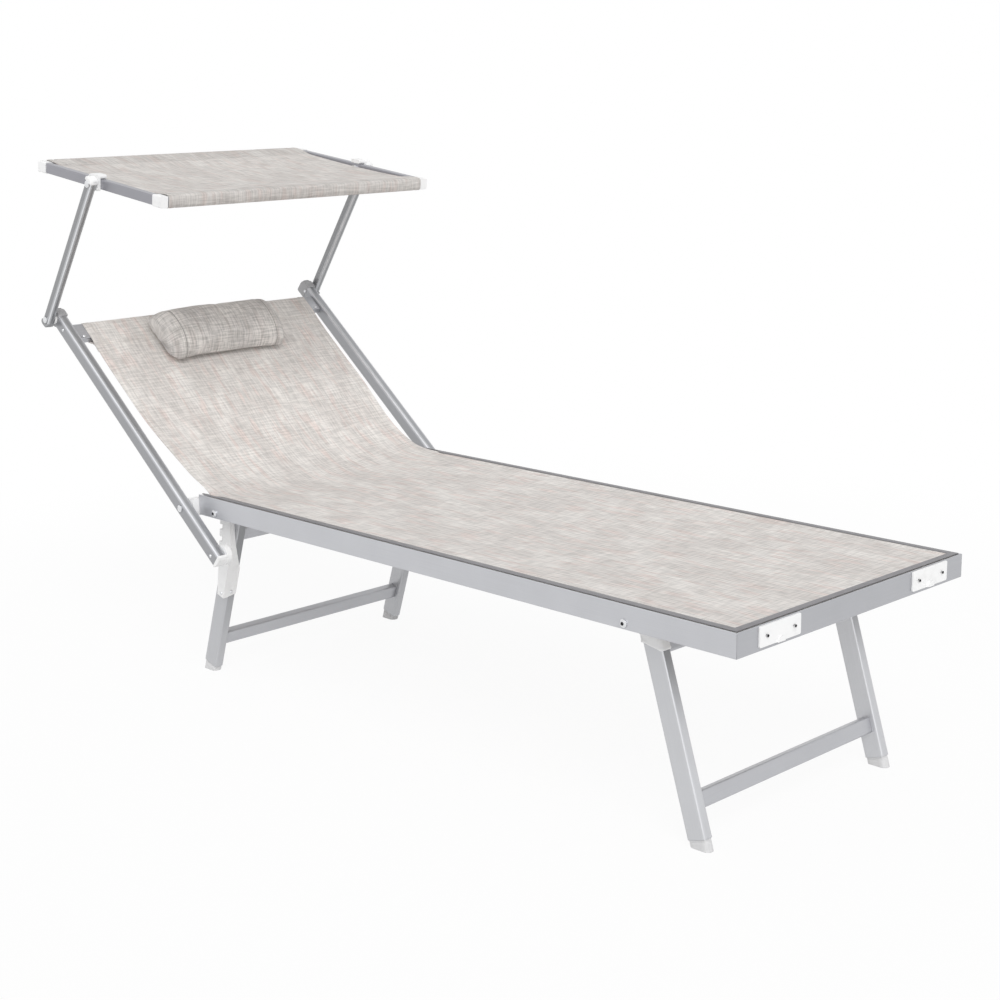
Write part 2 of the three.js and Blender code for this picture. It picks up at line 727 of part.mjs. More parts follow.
// Saddle over the side tube with a cheek on its outer face, where the arm bolts on
function canopyClip(side) {
  const rear = clipAheadOfPivot - clipLength;
  const low = -canopyTubeHeight / 2 - clipDrop;
  const top = canopyTubeHeight / 2 + clearance;
  const cheek = roundedOutline([
    [rear, low], [clipAheadOfPivot, low], [clipAheadOfPivot, top + clipRise],
    [rear + clipRise, top + clipRise], [rear, top],
  ], clipRise / 2);
  const saddle = roundedOutline([
    [rear + clipRise, top], [clipAheadOfPivot, top], [clipAheadOfPivot, top + clipRise],
    [rear + clipRise, top + clipRise],
  ], clipRise / 2);
  const face = canopyOuter + clearance;
  const body = join(
    sideways(cheek, face, armInner - clearance, side),
    sideways(saddle, canopyInner + canopyTubeWall, face + canopyTubeWall, side),
  );
  return cut(body, pinCutter(holeRadius, canopyOuter, armInner, side));
}

const canopyBolt = (side) => turned([
  [0, canopyInner - clipCapHeight], [clipCapRadius, canopyInner - clipCapHeight],
  [clipCapRadius, canopyInner - clearance], [boltRadius, canopyInner - clearance],
  ...boltHead(armOuter),
], side);

function canopyCloth() {
  const half = canopyInner - canopyClothGap;
  const inner = [canopyTubeWidth + 2 * clearance, canopyTubeHeight + 2 * clearance];
  const outer = inner.map((size) => size + 2 * slingThickness);
  const sleeves = [-1, 1].map((end) => {
    const sleeve = bar(...outer, canopyTubeRadius, end * halfCanopy, 0);
    sleeve.holes.push(bar(...inner, canopyTubeRadius, end * halfCanopy, 0));
    return acrossY(sleeve, -half, half);
  });
  const edge = halfCanopy - canopyTubeWidth / 2 - clearance - slingThickness / 2;
  const top = outer[1] / 2 - canopyTubeRadius / 2;
  const curve = new THREE.QuadraticBezierCurve(new THREE.Vector2(-edge, top),
    new THREE.Vector2(0, top - 2 * canopySag), new THREE.Vector2(edge, top));
  return join(...sleeves, acrossY(band(curve.getPoints(12).reverse(), slingThickness), -half, half));
}

function canopy() {
  const group = new THREE.Group();
  for (const [end, direction] of [["front", 1], ["rear", -1]]) {
    group.add(piece(`canopy_${end}_tube`, canopyCrossTube(direction), "aluminium"));
    for (const [name, side] of sides) {
      group.add(piece(`canopy_${end}_corner_${name}`, canopyCorner(direction, side), "nylon"));
    }
  }
  for (const [name, side] of sides) {
    group.add(piece(`canopy_side_tube_${name}`, canopySideTube(side), "aluminium"));
    group.add(piece(`canopy_clip_${name}`, canopyClip(side), "nylon"));
    group.add(piece(`canopy_bolt_${name}`, canopyBolt(side), "steel"));
  }
  group.add(piece("canopy_cloth", canopyCloth(), "sling"));
  return group;
}

// The whole lounger
const backDirection = degrees(backAngleDegrees);
const armDirection = degrees(armAngleDegrees);
const frontSplay = degrees(frontSplayDegrees);
const rearSplay = degrees(-rearSplayDegrees);
const rearPivot = -seatLength + rearPivotFromHead;
const arms = armPair();
arms.position.set(
  backPivot.x - armPivot * Math.cos(backDirection), 0, backPivot.z + armPivot * Math.sin(backDirection));
arms.rotation.y = Math.PI / 2 - armDirection;
const sunshade = canopy();
sunshade.position.copy(arms.position)
  .add(new THREE.Vector3(Math.cos(armDirection), 0, Math.sin(armDirection)).multiplyScalar(armLength));
sunshade.rotation.y = degrees(canopyTiltDegrees);

const lounger = new THREE.Group();
lounger.add(
  seatFrame(),
  legFrame("front", -frontPivotFromFoot, frontSplay, frontUpperBarDrop, frontCollarReach),
  legFrame("rear", rearPivot, rearSplay, rearUpperBarDrop, rearCollarReach),
  backrest(),
  arms,
  sunshade,
);
const box = new THREE.Box3().setFromObject(lounger, true);
lounger.position.x = -(box.min.x + box.max.x) / 2;

export default lounger;
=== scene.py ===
# The dressed model of a folding beach lounger: one sling from foot rail to head tube, a head pillow,
# a small tilting canopy and a frame of satin aluminium tube. Metres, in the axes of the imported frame.
import json
import math
from itertools import accumulate

import bmesh
import bpy
from mathutils import Matrix, Vector, noise


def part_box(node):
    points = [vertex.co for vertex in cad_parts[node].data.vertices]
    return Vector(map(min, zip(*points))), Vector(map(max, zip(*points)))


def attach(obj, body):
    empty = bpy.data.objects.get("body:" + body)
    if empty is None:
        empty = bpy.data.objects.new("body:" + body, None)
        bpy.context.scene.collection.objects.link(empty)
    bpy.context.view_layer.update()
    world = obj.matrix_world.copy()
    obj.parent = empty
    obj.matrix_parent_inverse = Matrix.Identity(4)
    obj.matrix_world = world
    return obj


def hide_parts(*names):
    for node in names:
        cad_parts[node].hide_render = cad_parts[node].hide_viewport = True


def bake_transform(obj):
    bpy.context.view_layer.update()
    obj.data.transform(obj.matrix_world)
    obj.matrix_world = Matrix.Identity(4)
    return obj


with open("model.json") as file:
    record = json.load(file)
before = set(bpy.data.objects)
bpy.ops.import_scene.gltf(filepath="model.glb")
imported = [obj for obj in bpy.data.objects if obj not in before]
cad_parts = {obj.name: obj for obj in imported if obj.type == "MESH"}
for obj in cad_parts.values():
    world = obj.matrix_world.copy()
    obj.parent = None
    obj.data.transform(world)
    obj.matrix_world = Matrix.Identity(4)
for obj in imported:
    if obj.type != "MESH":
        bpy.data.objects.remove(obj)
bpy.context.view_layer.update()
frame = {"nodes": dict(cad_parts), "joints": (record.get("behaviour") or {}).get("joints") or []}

pivots = {joint["name"]: Vector(joint["pos_m"]) for joint in frame["joints"]}
BACK = pivots["backrest_recline"]
ARM = pivots["canopy_arm_swing"]
TILT = pivots["canopy_tilt"]

MM = 0.001
BACK_ANGLE = math.radians(39)
CANOPY_TILT = math.radians(7.55)
X_AXIS, Y_AXIS = (1.0, 0.0, 0.0), (0.0, 1.0, 0.0)
SIDES = (("left", 1), ("right", -1))
CLOTH_THICKNESS = 1.3 * MM
CLOTH_RELIEF = 0.3 * MM


def set_all(thing, **settings):
    for key, value in settings.items():
        setattr(thing, key, value)
    return thing


# ---- node graphs

class Wire:
    """A socket that takes part in Python sums. Each operator adds one Math node."""

    def __init__(self, graph, socket):
        self.graph = graph
        self.socket = socket

    def other(self, name):
        """Another output of the same node."""
        return Wire(self.graph, self.socket.node.outputs[name])

    def __add__(self, other):
        return self.graph.maths("ADD", self, other)

    def __sub__(self, other):
        return self.graph.maths("SUBTRACT", self, other)

    def __rsub__(self, other):
        return self.graph.maths("SUBTRACT", other, self)

    def __mul__(self, other):
        return self.graph.maths("MULTIPLY", self, other)

    def __gt__(self, other):
        return self.graph.maths("GREATER_THAN", self, other)

    def __lt__(self, other):
        return self.graph.maths("LESS_THAN", self, other)

    def sine(self):
        return self.graph.maths("SINE", self)


class Graph:
    """A node tree with one way of adding a node: its type, its settings, then its sockets."""

    def __init__(self, tree):
        self.tree = tree

    def node(self, kind, settings=None, sockets=None, out=0):
        made = set_all(self.tree.nodes.new(kind), **(settings or {}))
        for key, value in (sockets or {}).items():
            if isinstance(value, Wire):
                self.tree.links.new(value.socket, made.inputs[key])
            else:
                made.inputs[key].default_value = value
        return Wire(self, made.outputs[out]) if made.outputs else made

    def maths(self, operation, *values):
        return self.node("ShaderNodeMath", {"operation": operation}, dict(enumerate(values)))

    def seen(self):
        """1 for a ray from the camera: a straight one, or one that a surface sent on."""
        path = self.node("ShaderNodeLightPath")
        return path.other("Is Camera Ray") + path.other("Is Glossy Ray") + path.other("Is Transmission Ray")


def shade(red, green, blue):
    """A linear colour from the usual 0-255 values."""
    def linear(value):
        value /= 255
        return value / 12.92 if value <= 0.04045 else ((value + 0.055) / 1.055) ** 2.4
    return (linear(red), linear(green), linear(blue), 1.0)


class Finish(Graph):
    """A material with one Principled surface."""

    def __init__(self, name):
        self.material = bpy.data.materials.new(name)
        self.material.use_nodes = True
        super().__init__(self.material.node_tree)
        self.tree.nodes.clear()

    def place(self):
        return self.node("ShaderNodeTexCoord", out="Object")

    def vector(self, operation, first, second):
        key = "Scale" if operation == "SCALE" else 1
        out = "Value" if operation == "DOT_PRODUCT" else "Vector"
        return self.node("ShaderNodeVectorMath", {"operation": operation}, {0: first, key: second}, out)

    def noise(self, vector, scale=1.0, detail=2.0, roughness=0.5):
        return self.node("ShaderNodeTexNoise", {}, {
            "Vector": vector, "Scale": scale, "Detail": detail, "Roughness": roughness}, "Fac")

    def spread(self, value, low, high, to_low=0.0, to_high=1.0):
        """The value's range from low to high, stretched smoothly over the new one."""
        return self.node("ShaderNodeMapRange", {"interpolation_type": "SMOOTHSTEP"}, {
            "Value": value, "From Min": low, "From Max": high, "To Min": to_low, "To Max": to_high})

    def blend(self, factor, first, second):
        return self.node("ShaderNodeMix", {"data_type": "RGBA"}, {0: factor, 6: first, 7: second}, 2)

    def brighten(self, colour, level):
        """A colour times a level that varies over the surface."""
        grey = self.node("ShaderNodeCombineColor", {}, {0: level, 1: level, 2: level})
        return self.node("ShaderNodeMix", {"data_type": "RGBA", "blend_type": "MULTIPLY"}, {
            0: 1.0, 6: colour, 7: grey}, 2)

    def bump(self, height, distance, edge_radius=None):
        """Fine relief, over edges that look rounded where a radius is given."""
        sockets = {"Height": height, "Distance": distance}
        if edge_radius:
            sockets["Normal"] = self.node("ShaderNodeBevel", {"samples": 4}, {"Radius": edge_radius})
        return self.node("ShaderNodeBump", {}, sockets)

    def surface(self, **sockets):
        named = {key.replace("_", " ").title().replace("Ior", "IOR"): value for key, value in sockets.items()}
        body = self.node("ShaderNodeBsdfPrincipled", {}, named)
        self.node("ShaderNodeOutputMaterial", {}, {"Surface": body})
        return self.material


# ---- finishes

YARN_PITCH = 2.1 * MM


def woven(name, colour, pale, deep, contrast, bands=()):
    """Sling cloth: flat yarns on a fine grid, with slubs that run along warp and weft.
    Each band is a run of the cloth's length, from and to, where it lies double, and its level."""
    f = Finish(name)
    at = f.node("ShaderNodeUVMap", {"uv_map": "cloth"})

    def streaks(across, along, shift, detail=2.0):
        moved = f.node("ShaderNodeMapping", {}, {
            "Vector": at, "Scale": (across, along, 1.0), "Location": (shift, 2.3 * shift, 0.0)})
        return f.noise(moved, detail=detail)

    warp, weft = streaks(270.0, 21.0, 0.0), streaks(23.0, 250.0, 7.3)
    fine = streaks(640.0, 70.0, 1.7, 1.0) + streaks(80.0, 600.0, 9.1, 1.0) - 1.0
    raised = f.spread(streaks(360.0, 40.0, 3.9), 0.64, 0.72) + f.spread(streaks(44.0, 340.0, 5.2), 0.64, 0.72)
    across = f.node("ShaderNodeSeparateXYZ", {}, {0: at})
    along = across.other("Y")
    turns = 2 * math.pi / YARN_PITCH
    grid = (across * turns).sine() * (along * turns).sine()
    lines = f.spread(warp, 0.36, 0.64, -1.0, 1.0) + f.spread(weft, 0.36, 0.64, -1.0, 1.0)
    level = (lines * contrast + fine * (contrast * 1.5) + raised * (contrast * 1.5)
             + grid * (contrast * 0.3) + 1.0)
    for start, end, tone in bands:
        inside = (along > start) * (along < end)
        level = level * (1.0 - inside * (1.0 - tone))
    tone = f.blend(f.spread(streaks(16.0, 7.0, 2.6), 0.38, 0.64), shade(*colour), shade(*pale))
    tone = f.blend(f.spread(streaks(70.0, 12.0, 6.1), 0.5, 0.68, 0.0, 0.6), tone, shade(*deep))
    height = grid * 0.5 + lines * 0.3 + raised * 0.5 + fine
    return f.surface(
        base_color=f.brighten(tone, level),
        roughness=f.spread(warp, 0.3, 0.7, 0.92, 0.74),
        normal=f.bump(height, CLOTH_RELIEF),
        sheen_weight=0.12, sheen_roughness=0.5, specular_ior_level=0.3)


def aluminium(name, tone, direction, front=None, painted_highlight=0.0, painted_shade=None):
    """Satin anodised tube: drawing lines along it, faint cloudiness and softly broken edges.
    The rounded edges on both sides of its front are painted lighter, a painted highlight. One face gets
    painted shade: darkest where it starts along the tube, and as light as the rest where it ends."""
    f = Finish(name)
    at = f.place()
    run = f.vector("DOT_PRODUCT", at, direction)
    across_scale, along_scale = 1400.0, 6.0
    stretched = f.vector("SUBTRACT", f.vector("SCALE", at, across_scale),
                         f.vector("SCALE", direction, run * (across_scale - along_scale)))
    drawn = f.noise(stretched, roughness=0.6)
    cloud = f.noise(at, scale=14.0, detail=3.0)
    marks = f.spread(f.noise(at, scale=420.0), 0.66, 0.74)
    level = (drawn - 0.5) * 0.16 + (cloud - 0.5) * 0.12 + marks * 0.08 + 1.0
    facing = f.node("ShaderNodeTexCoord", out="Normal")
    # Painted shade: the chosen face is painted darker at the start of its run, fading to nothing at its end.
    if painted_shade:
        face, start, end, lowest = painted_shade
        there = f.spread(f.vector("DOT_PRODUCT", facing, face), 0.75, 0.95)
        level = level * (1.0 - there * f.spread(run, start, end, 1.0 - lowest, 0.0))
    # Painted highlight: the rounded edges beside the front are painted lighter, with a cloudy spread.
    if front:
        sideways = f.maths("ABSOLUTE", f.vector("DOT_PRODUCT", facing, Y_AXIS))
        rounded = (f.vector("DOT_PRODUCT", facing, front) + sideways) * 0.7071
        level = level + f.spread(rounded, 0.76, 0.93) * ((cloud - 0.5) * 0.5 + painted_highlight)
    return f.surface(
        base_color=f.brighten(shade(*tone), level),
        metallic=0.55,
        roughness=(drawn - 0.5) * 0.12 + (cloud - 0.5) * 0.1 + 0.34,
        normal=f.bump(drawn, 0.04 * MM, 1.1 * MM))


def nylon(name, tone, roughness=0.42):
    """Moulded plastic with a fine spark-eroded grain and a little dust in it."""
    f = Finish(name)
    at = f.place()
    grain = f.noise(at, scale=1500.0)
    cloud = f.noise(at, scale=45.0, detail=3.0)
    dusty = tuple(0.9 * value for value in shade(*tone)[:3]) + (1.0,)
    return f.surface(
        base_color=f.blend(f.spread(cloud, 0.5, 0.75, 0.0, 0.6), shade(*tone), dusty),
        roughness=(grain - 0.5) * 0.2 + (cloud - 0.5) * 0.16 + roughness,
        normal=f.bump(grain, 0.03 * MM, 0.9 * MM))


def plated_steel(name, tone):
    """Zinc-plated steel: bright, with a cloudy bloom."""
    f = Finish(name)
    bloom = f.noise(f.place(), scale=190.0, detail=3.0)
    return f.surface(
        base_color=f.brighten(shade(*tone), (bloom - 0.5) * 0.3 + 1.0),
        metallic=1.0,
        roughness=f.spread(bloom, 0.3, 0.7, 0.2, 0.42),
        normal=f.bump(bloom, 0.02 * MM))


def thread(name, tone):
    """Twisted sewing thread."""
    f = Finish(name)
    twist = f.noise(f.place(), scale=2600.0, detail=1.0)
    return f.surface(
        base_color=f.brighten(shade(*tone), (twist - 0.5) * 0.4 + 1.0),
        roughness=0.7, normal=f.bump(twist, 0.05 * MM))


# ---- meshes

def linked(name, data):
    thing = bpy.data.objects.new(name, data)
    bpy.context.scene.collection.objects.link(thing)
    return thing


def put(name, mesh, material):
    mesh.name = name
    mesh.materials.clear()
    mesh.materials.append(material)
    return linked(name, mesh)


def smooth(mesh, angle=None):
    mesh.shade_smooth()
    if angle is not None:
        mesh.set_sharp_from_angle(angle=math.radians(angle))


def frozen(piece):
    """The piece with its modifiers applied, as a plain mesh on the same object."""
    bpy.context.view_layer.update()
    evaluated = piece.evaluated_get(bpy.context.evaluated_depsgraph_get())
    mesh = bpy.data.meshes.new_from_object(evaluated)
    old = piece.data
    piece.modifiers.clear()
    piece.data = mesh
    mesh.name = piece.name
    bpy.data.meshes.remove(old)
    return piece


def changed(piece, kind, **settings):
    """The piece with one modifier, set so and applied."""
    set_all(piece.modifiers.new(kind, kind), **settings)
    return frozen(piece)


def resampled(points, spacing):
    """Points on a smooth curve through the given ones, each of them kept, at about that spacing."""
    kept = []
    last = len(points) - 1
    for i in range(last):
        p0 = points[max(i - 1, 0)]
        p1, p2 = points[i], points[i + 1]
        p3 = points[min(i + 2, last)]
        steps = max(1, round((p2 - p1).length / spacing))
        for step in range(steps):
            kept.append(through(p0, p1, p2, p3, step / steps))
    kept.append(points[-1])
    return kept


def through(p0, p1, p2, p3, t):
    """Centripetal Catmull-Rom, so that uneven spacing makes no loops."""
    knots = [0.0]
    for a, b in ((p0, p1), (p1, p2), (p2, p3)):
        knots.append(knots[-1] + max((b - a).length, 1e-6) ** 0.5)
    k0, k1, k2, k3 = knots
    k = k1 + (k2 - k1) * t

    def between(a, b, start, end):
        return a.lerp(b, (k - start) / (end - start))

    a1, a2, a3 = between(p0, p1, k0, k1), between(p1, p2, k1, k2), between(p2, p3, k2, k3)
    return between(between(a1, a2, k0, k2), between(a2, a3, k1, k3), k1, k2)


def run_lengths(points):
    return [0.0, *accumulate((b - a).length for a, b in zip(points, points[1:]))]


def eased(value, low, high):
    t = min(max((value - low) / (high - low), 0.0), 1.0)
    return t * t * (3 - 2 * t)


def nearest(points, place, start=0, end=None):
    """The number of the point that lies nearest to a place."""
    return min(range(start, end or len(points)), key=lambda i: (points[i] - place).length)


def square_to(points, side):
    """At each point of a run in the XZ plane, the direction square to it, on one side."""
    normals = []
    for i in range(len(points)):
        run = points[min(i + 1, len(points) - 1)] - points[max(i - 1, 0)]
        normals.append(Vector((side * run.z, 0, -side * run.x)).normalized())
    return normals


def skin(mesh, rings, closed=False):
    """Faces from each ring of corners to the next, and over both ends where the rings don't close."""
    for ring, following in zip(rings, rings[1:] + (rings[:1] if closed else [])):
        for k in range(len(ring)):
            j = (k + 1) % len(ring)
            mesh.faces.new((ring[k], ring[j], following[j], following[k]))
    if not closed:
        mesh.faces.new(rings[0])
        mesh.faces.new(rings[-1])


def as_data(mesh, name, turn_faces=True):
    """The finished mesh, its faces turned outwards unless they lie right already."""
    if turn_faces:
        bmesh.ops.recalc_face_normals(mesh, faces=mesh.faces)
    data = bpy.data.meshes.new(name)
    mesh.to_mesh(data)
    mesh.free()
    return data


def cloth_grid(rows, columns, at, material, name):
    """A sheet from a grid of points; at(row, column) gives the place and the flat place."""
    mesh = bmesh.new()
    flat = mesh.loops.layers.uv.new("cloth")
    grid, places = [[] for row in range(rows)], {}
    for row, line in enumerate(grid):
        for column in range(columns):
            point, flat_place = at(row, column)
            line.append(mesh.verts.new(point))
            places[line[-1]] = flat_place
    for row in range(rows - 1):
        for column in range(columns - 1):
            face = mesh.faces.new((grid[row][column], grid[row][column + 1],
                                   grid[row + 1][column + 1], grid[row + 1][column]))
            for loop in face.loops:
                loop[flat].uv = places[loop.vert]
    piece = put(name, as_data(mesh, name, turn_faces=False), material)
    changed(piece, "SOLIDIFY", thickness=CLOTH_THICKNESS, offset=-1.0, use_even_offset=True)
    smooth(piece.data, 50)
    return piece


def over_grid(at, normals, rows, columns, height):
    """Places that many millimetres above a cloth's grid."""
    return [at(row, column)[0] + normals[row] * height * MM for row in rows for column in columns]


def piping(name, points, radius, material):
    """A round cord along a closed run of points."""
    mesh = bmesh.new()
    sides, up = 8, Vector((0, 0, 1))
    rings = []
    for i, point in enumerate(points):
        run = (points[(i + 1) % len(points)] - points[i - 1]).normalized()
        side = run.cross(up)
        if side.length < 1e-3:
            side = run.cross(Vector(X_AXIS))
        side.normalize()
        over = side.cross(run)
        rings.append([mesh.verts.new(point + radius * (
            math.cos(2 * math.pi * k / sides) * side + math.sin(2 * math.pi * k / sides) * over))
            for k in range(sides)])
    skin(mesh, rings, closed=True)
    piece = put(name, as_data(mesh, name), material)
    smooth(piece.data, 50)
    return piece


# ---- things that repeat

def geometry_graph(name, **kinds):
    """A modifier's tree and its inputs: the base mesh, those named here and the finish."""
    tree = bpy.data.node_groups.new(name, "GeometryNodeTree")
    tree.is_modifier = True
    kinds = {"Geometry": "Geometry", **kinds, "Finish": "Material"}
    for label, kind in kinds.items():
        tree.interface.new_socket(name=label, in_out="INPUT", socket_type="NodeSocket" + kind)
    tree.interface.new_socket(name="Geometry", in_out="OUTPUT", socket_type="NodeSocketGeometry")
    g = Graph(tree)
    inputs = tree.nodes.new("NodeGroupInput").outputs
    return g, {label: Wire(g, inputs[label]) for label in kinds}


def painted_tree(g, placed, finish):
    """The tree with its instances made real and given their finish."""
    real = g.node("GeometryNodeRealizeInstances", {}, {"Geometry": placed})
    painted = g.node("GeometryNodeSetMaterial", {}, {"Geometry": real, "Material": finish})
    g.node("NodeGroupOutput", {}, {"Geometry": painted})
    return g.tree


def scatter_tree():
    """Sets a template on each point, its Z along the point's facing."""
    g, given = geometry_graph("fasteners", Template="Object", Size="Float")
    points = g.node("GeometryNodeMeshToPoints", {}, {"Mesh": given["Geometry"]})
    template = g.node("GeometryNodeObjectInfo", {}, {"Object": given["Template"]}, "Geometry")
    facing = g.node("GeometryNodeInputNamedAttribute", {"data_type": "FLOAT_VECTOR"}, {"Name": "facing"})
    turn = g.node("FunctionNodeAlignRotationToVector", {"axis": "Z"}, {"Vector": facing})
    placed = g.node("GeometryNodeInstanceOnPoints", {}, {
        "Points": points, "Instance": template, "Rotation": turn, "Scale": given["Size"]})
    return painted_tree(g, placed, given["Finish"])


def stitch_tree():
    """Sews stitches along edges: each a short thread that lies along the seam."""
    g, given = geometry_graph("stitches", Pitch="Float", Length="Float", Thread="Float")
    seam = g.node("GeometryNodeMeshToCurve", {}, {"Mesh": given["Geometry"]})
    holes = g.node("GeometryNodeResampleCurve", {"mode": "LENGTH"}, {"Curve": seam, "Length": given["Pitch"]})
    run = g.node("GeometryNodeInputTangent")
    turn = g.node("FunctionNodeAlignRotationToVector", {"axis": "Z"}, {"Vector": run})
    loop = g.node("GeometryNodeMeshCylinder", {"fill_type": "TRIANGLE_FAN"}, {
        "Vertices": 6, "Side Segments": 2, "Radius": given["Thread"], "Depth": given["Length"]})
    placed = g.node("GeometryNodeInstanceOnPoints", {}, {"Points": holes, "Instance": loop, "Rotation": turn})
    return painted_tree(g, placed, given["Finish"])


def grown(name, base, tree, inputs, material):
    """The plain mesh that a tree makes on a base mesh."""
    carrier = put(name, base, material)
    modifier = carrier.modifiers.new(tree.name, "NODES")
    modifier.node_group = tree
    sockets = {item.name: item.identifier for item in tree.interface.items_tree if item.in_out == "INPUT"}
    for label, value in inputs.items():
        modifier[sockets[label]] = value
    return frozen(carrier)


SCATTER = scatter_tree()
STITCHES = stitch_tree()


def spun(profile, steps=24):
    """A closed turned shape about Z from (radius, height) pairs, both ends on the axis."""
    mesh = bmesh.new()
    rings = []
    for radius, height in profile:
        rings.append([mesh.verts.new((radius * math.cos(2 * math.pi * k / steps),
                                      radius * math.sin(2 * math.pi * k / steps), height))
                      for k in range(steps if radius else 1)])
    for lower, upper in zip(rings, rings[1:]):
        for k in range(steps):
            j = (k + 1) % steps
            corners = [lower[k % len(lower)], lower[j % len(lower)],
                       upper[j % len(upper)], upper[k % len(upper)]]
            kept = [corner for i, corner in enumerate(corners) if corner not in corners[:i]]
            if len(kept) > 2:
                mesh.faces.new(kept)
    return as_data(mesh, "turned")


def fastened(name, body, places, template, size, material):
    """Fasteners on one body: places are (point, facing) pairs."""
    base = bpy.data.meshes.new(name)
    base.from_pydata([point for point, _ in places], [], [])
    facing = base.attributes.new("facing", "FLOAT_VECTOR", "POINT")
    for i, (_, direction) in enumerate(places):
        facing.data[i].vector = direction
    holder = bpy.data.objects.new(name + "_template", template)
    piece = grown(name, base, SCATTER, {"Template": holder, "Size": size, "Finish": material}, material)
    bpy.data.objects.remove(holder)
    smooth(piece.data, 35)
    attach(piece, body)


def sewn(name, rows):
    """Stitch rows of the sling's thread along lists of points."""
    base = bpy.data.meshes.new(name)
    points, edges = [], []
    for row in rows:
        first = len(points)
        points += row
        edges += [(first + i, first + i + 1) for i in range(len(row) - 1)]
    base.from_pydata(points, edges, [])
    piece = grown(name, base, STITCHES, {
        "Pitch": 4.2 * MM, "Length": 2.9 * MM, "Thread": 0.45 * MM, "Finish": SLING_THREAD}, SLING_THREAD)
    smooth(piece.data)
    return piece


# ---- finishes of this lounger

SLING_CLOTH = woven("sling_cloth", (214, 209, 205), (226, 222, 218), (219, 203, 197), 0.09)
PILLOW_CLOTH = woven("pillow_cloth", (199, 195, 192), (213, 209, 205), (188, 181, 177), 0.14)
SLING_THREAD = thread("sling_thread", (206, 200, 194))
PILLOW_THREAD = thread("pillow_thread", (146, 142, 138))
WHITE_NYLON = nylon("white_nylon", (243, 243, 243))
GREY_NYLON = nylon("grey_nylon", (150, 151, 153), 0.5)
FOOT_NYLON = nylon("foot_nylon", (212, 212, 213), 0.5)
CAP_NYLON = nylon("cap_nylon", (174, 174, 176), 0.5)
# A dark strip along the rails' grooves: painted shade of the grooves.
GROOVE_SHADE = nylon("edge_vinyl", (130, 129, 132), 0.5)
ZINC = plated_steel("plated_steel", (226, 227, 229))
# Dark heads in the leg bolts and the foot plates: painted shade of their sockets and screw holes.
HOLE_SHADE = plated_steel("blackened_steel", (52, 52, 54))


def leg_run(end):
    """Down a leg, from its pivot to its foot: across its box, but for the leg's own width."""
    low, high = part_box(f"{end}_leg_left")
    own_width = 36 * MM
    lean = (high.x - low.x) - own_width
    return tuple(Vector((lean if end == "front" else -lean, 0.0, -(high.z - low.z))).normalized())


def leg_face(end):
    """Out of a leg's front."""
    run = leg_run(end)
    return -run[2], 0.0, run[0]


def leg_painted_shade(end, reach, lowest):
    """The leg's front face, with painted shade that is darkest under its collar and fades out down to that
    reach.
    """
    top, collar = pivots[f"{end}_leg_fold"].dot(Vector(leg_run(end))), 50 * MM
    return leg_face(end), top + collar, top + reach, lowest


# The way along each leaning tube, and out of the front of those whose rounded front edges get a painted
# highlight.
BACK_RUN = (-math.cos(BACK_ANGLE), 0.0, math.sin(BACK_ANGLE))
BACK_FACE = (math.sin(BACK_ANGLE), 0.0, math.cos(BACK_ANGLE))
ARM_RUN = tuple((TILT - ARM).normalized())
ARM_FACE = (ARM_RUN[2], 0.0, -ARM_RUN[0])
CANOPY_RUN = (math.cos(CANOPY_TILT), 0.0, -math.sin(CANOPY_TILT))

# All the tubes are one satin aluminium; their tones differ as painted shade: the arms, backrest rails and
# foot rail are set darker than the seat rails to stand in for the light that falls on each.
FINISH_OF = [
    ("seat_rail", aluminium("rail_metal", (196, 197, 201), X_AXIS)),
    ("foot_rail", aluminium("foot_rail_metal", (178, 179, 183), Y_AXIS)),
    (("front_upper", "front_lower", "rear_upper", "rear_lower", "top_cross", "canopy_front_tube",
      "canopy_rear_tube"), aluminium("cross_metal", (186, 187, 191), Y_AXIS)),
    ("canopy_side", aluminium("canopy_metal", (154, 154, 160), CANOPY_RUN)),
    ("canopy_arm", aluminium("arm_metal", (148, 149, 151), ARM_RUN, front=ARM_FACE, painted_highlight=1.5)),
    ("back_rail", aluminium("back_metal", (159, 160, 163), BACK_RUN, front=BACK_FACE, painted_highlight=1.05)),
    (("front_leg_bolt", "rear_leg_bolt", "back_pivot_bolt", "arm_bolt", "canopy_bolt"), ZINC),
    (("front_leg_head", "rear_leg_head"), WHITE_NYLON),
    ("front_leg", aluminium("front_leg_metal", (199, 200, 203), leg_run("front"),
                            painted_shade=leg_painted_shade("front", 0.20, 0.5))),
    ("rear_leg", aluminium("rear_leg_metal", (190, 191, 194), leg_run("rear"),
                           painted_shade=leg_painted_shade("rear", 0.36, 0.55))),
    (("front_foot", "rear_foot"), FOOT_NYLON),
    ("rail_top_plug", GREY_NYLON),
    ("", WHITE_NYLON),
]
for node_name, node in frame["nodes"].items():
    finish = next(material for prefix, material in FINISH_OF if node_name.startswith(prefix))
    node.data.materials.clear()
    node.data.materials.append(finish)


# ---- sling

def on_back(reach, proud, y=0.0):
    """A point on the backrest: millimetres up its rails from the pivot, and in front of them."""
    r, n = reach * MM, proud * MM
    return Vector((BACK.x - math.cos(BACK_ANGLE) * r + math.sin(BACK_ANGLE) * n, y,
                   BACK.z + math.sin(BACK_ANGLE) * r + math.cos(BACK_ANGLE) * n))


RAIL_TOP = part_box("seat_rail_left")[1].z
FOOT_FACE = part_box("foot_rail")[1].x
SEAT_TOP = RAIL_TOP + 0.3 * MM
SEAT_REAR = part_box("seat_sling")[0].x
BACK_START = on_back(150, 3)
# From the middle of the cloth to its edge and to the seam of its hem.
HALF_CLOTH, HEM_SEAM = 0.29, 0.2716
# Millimetres that the seat hangs through, and those that it hangs more at its rear end.
SEAT_HANG, REAR_HANG = 9, 4
# The share of its width that the slack cloth of the bend is drawn in.
DRAWN_IN = 0.042


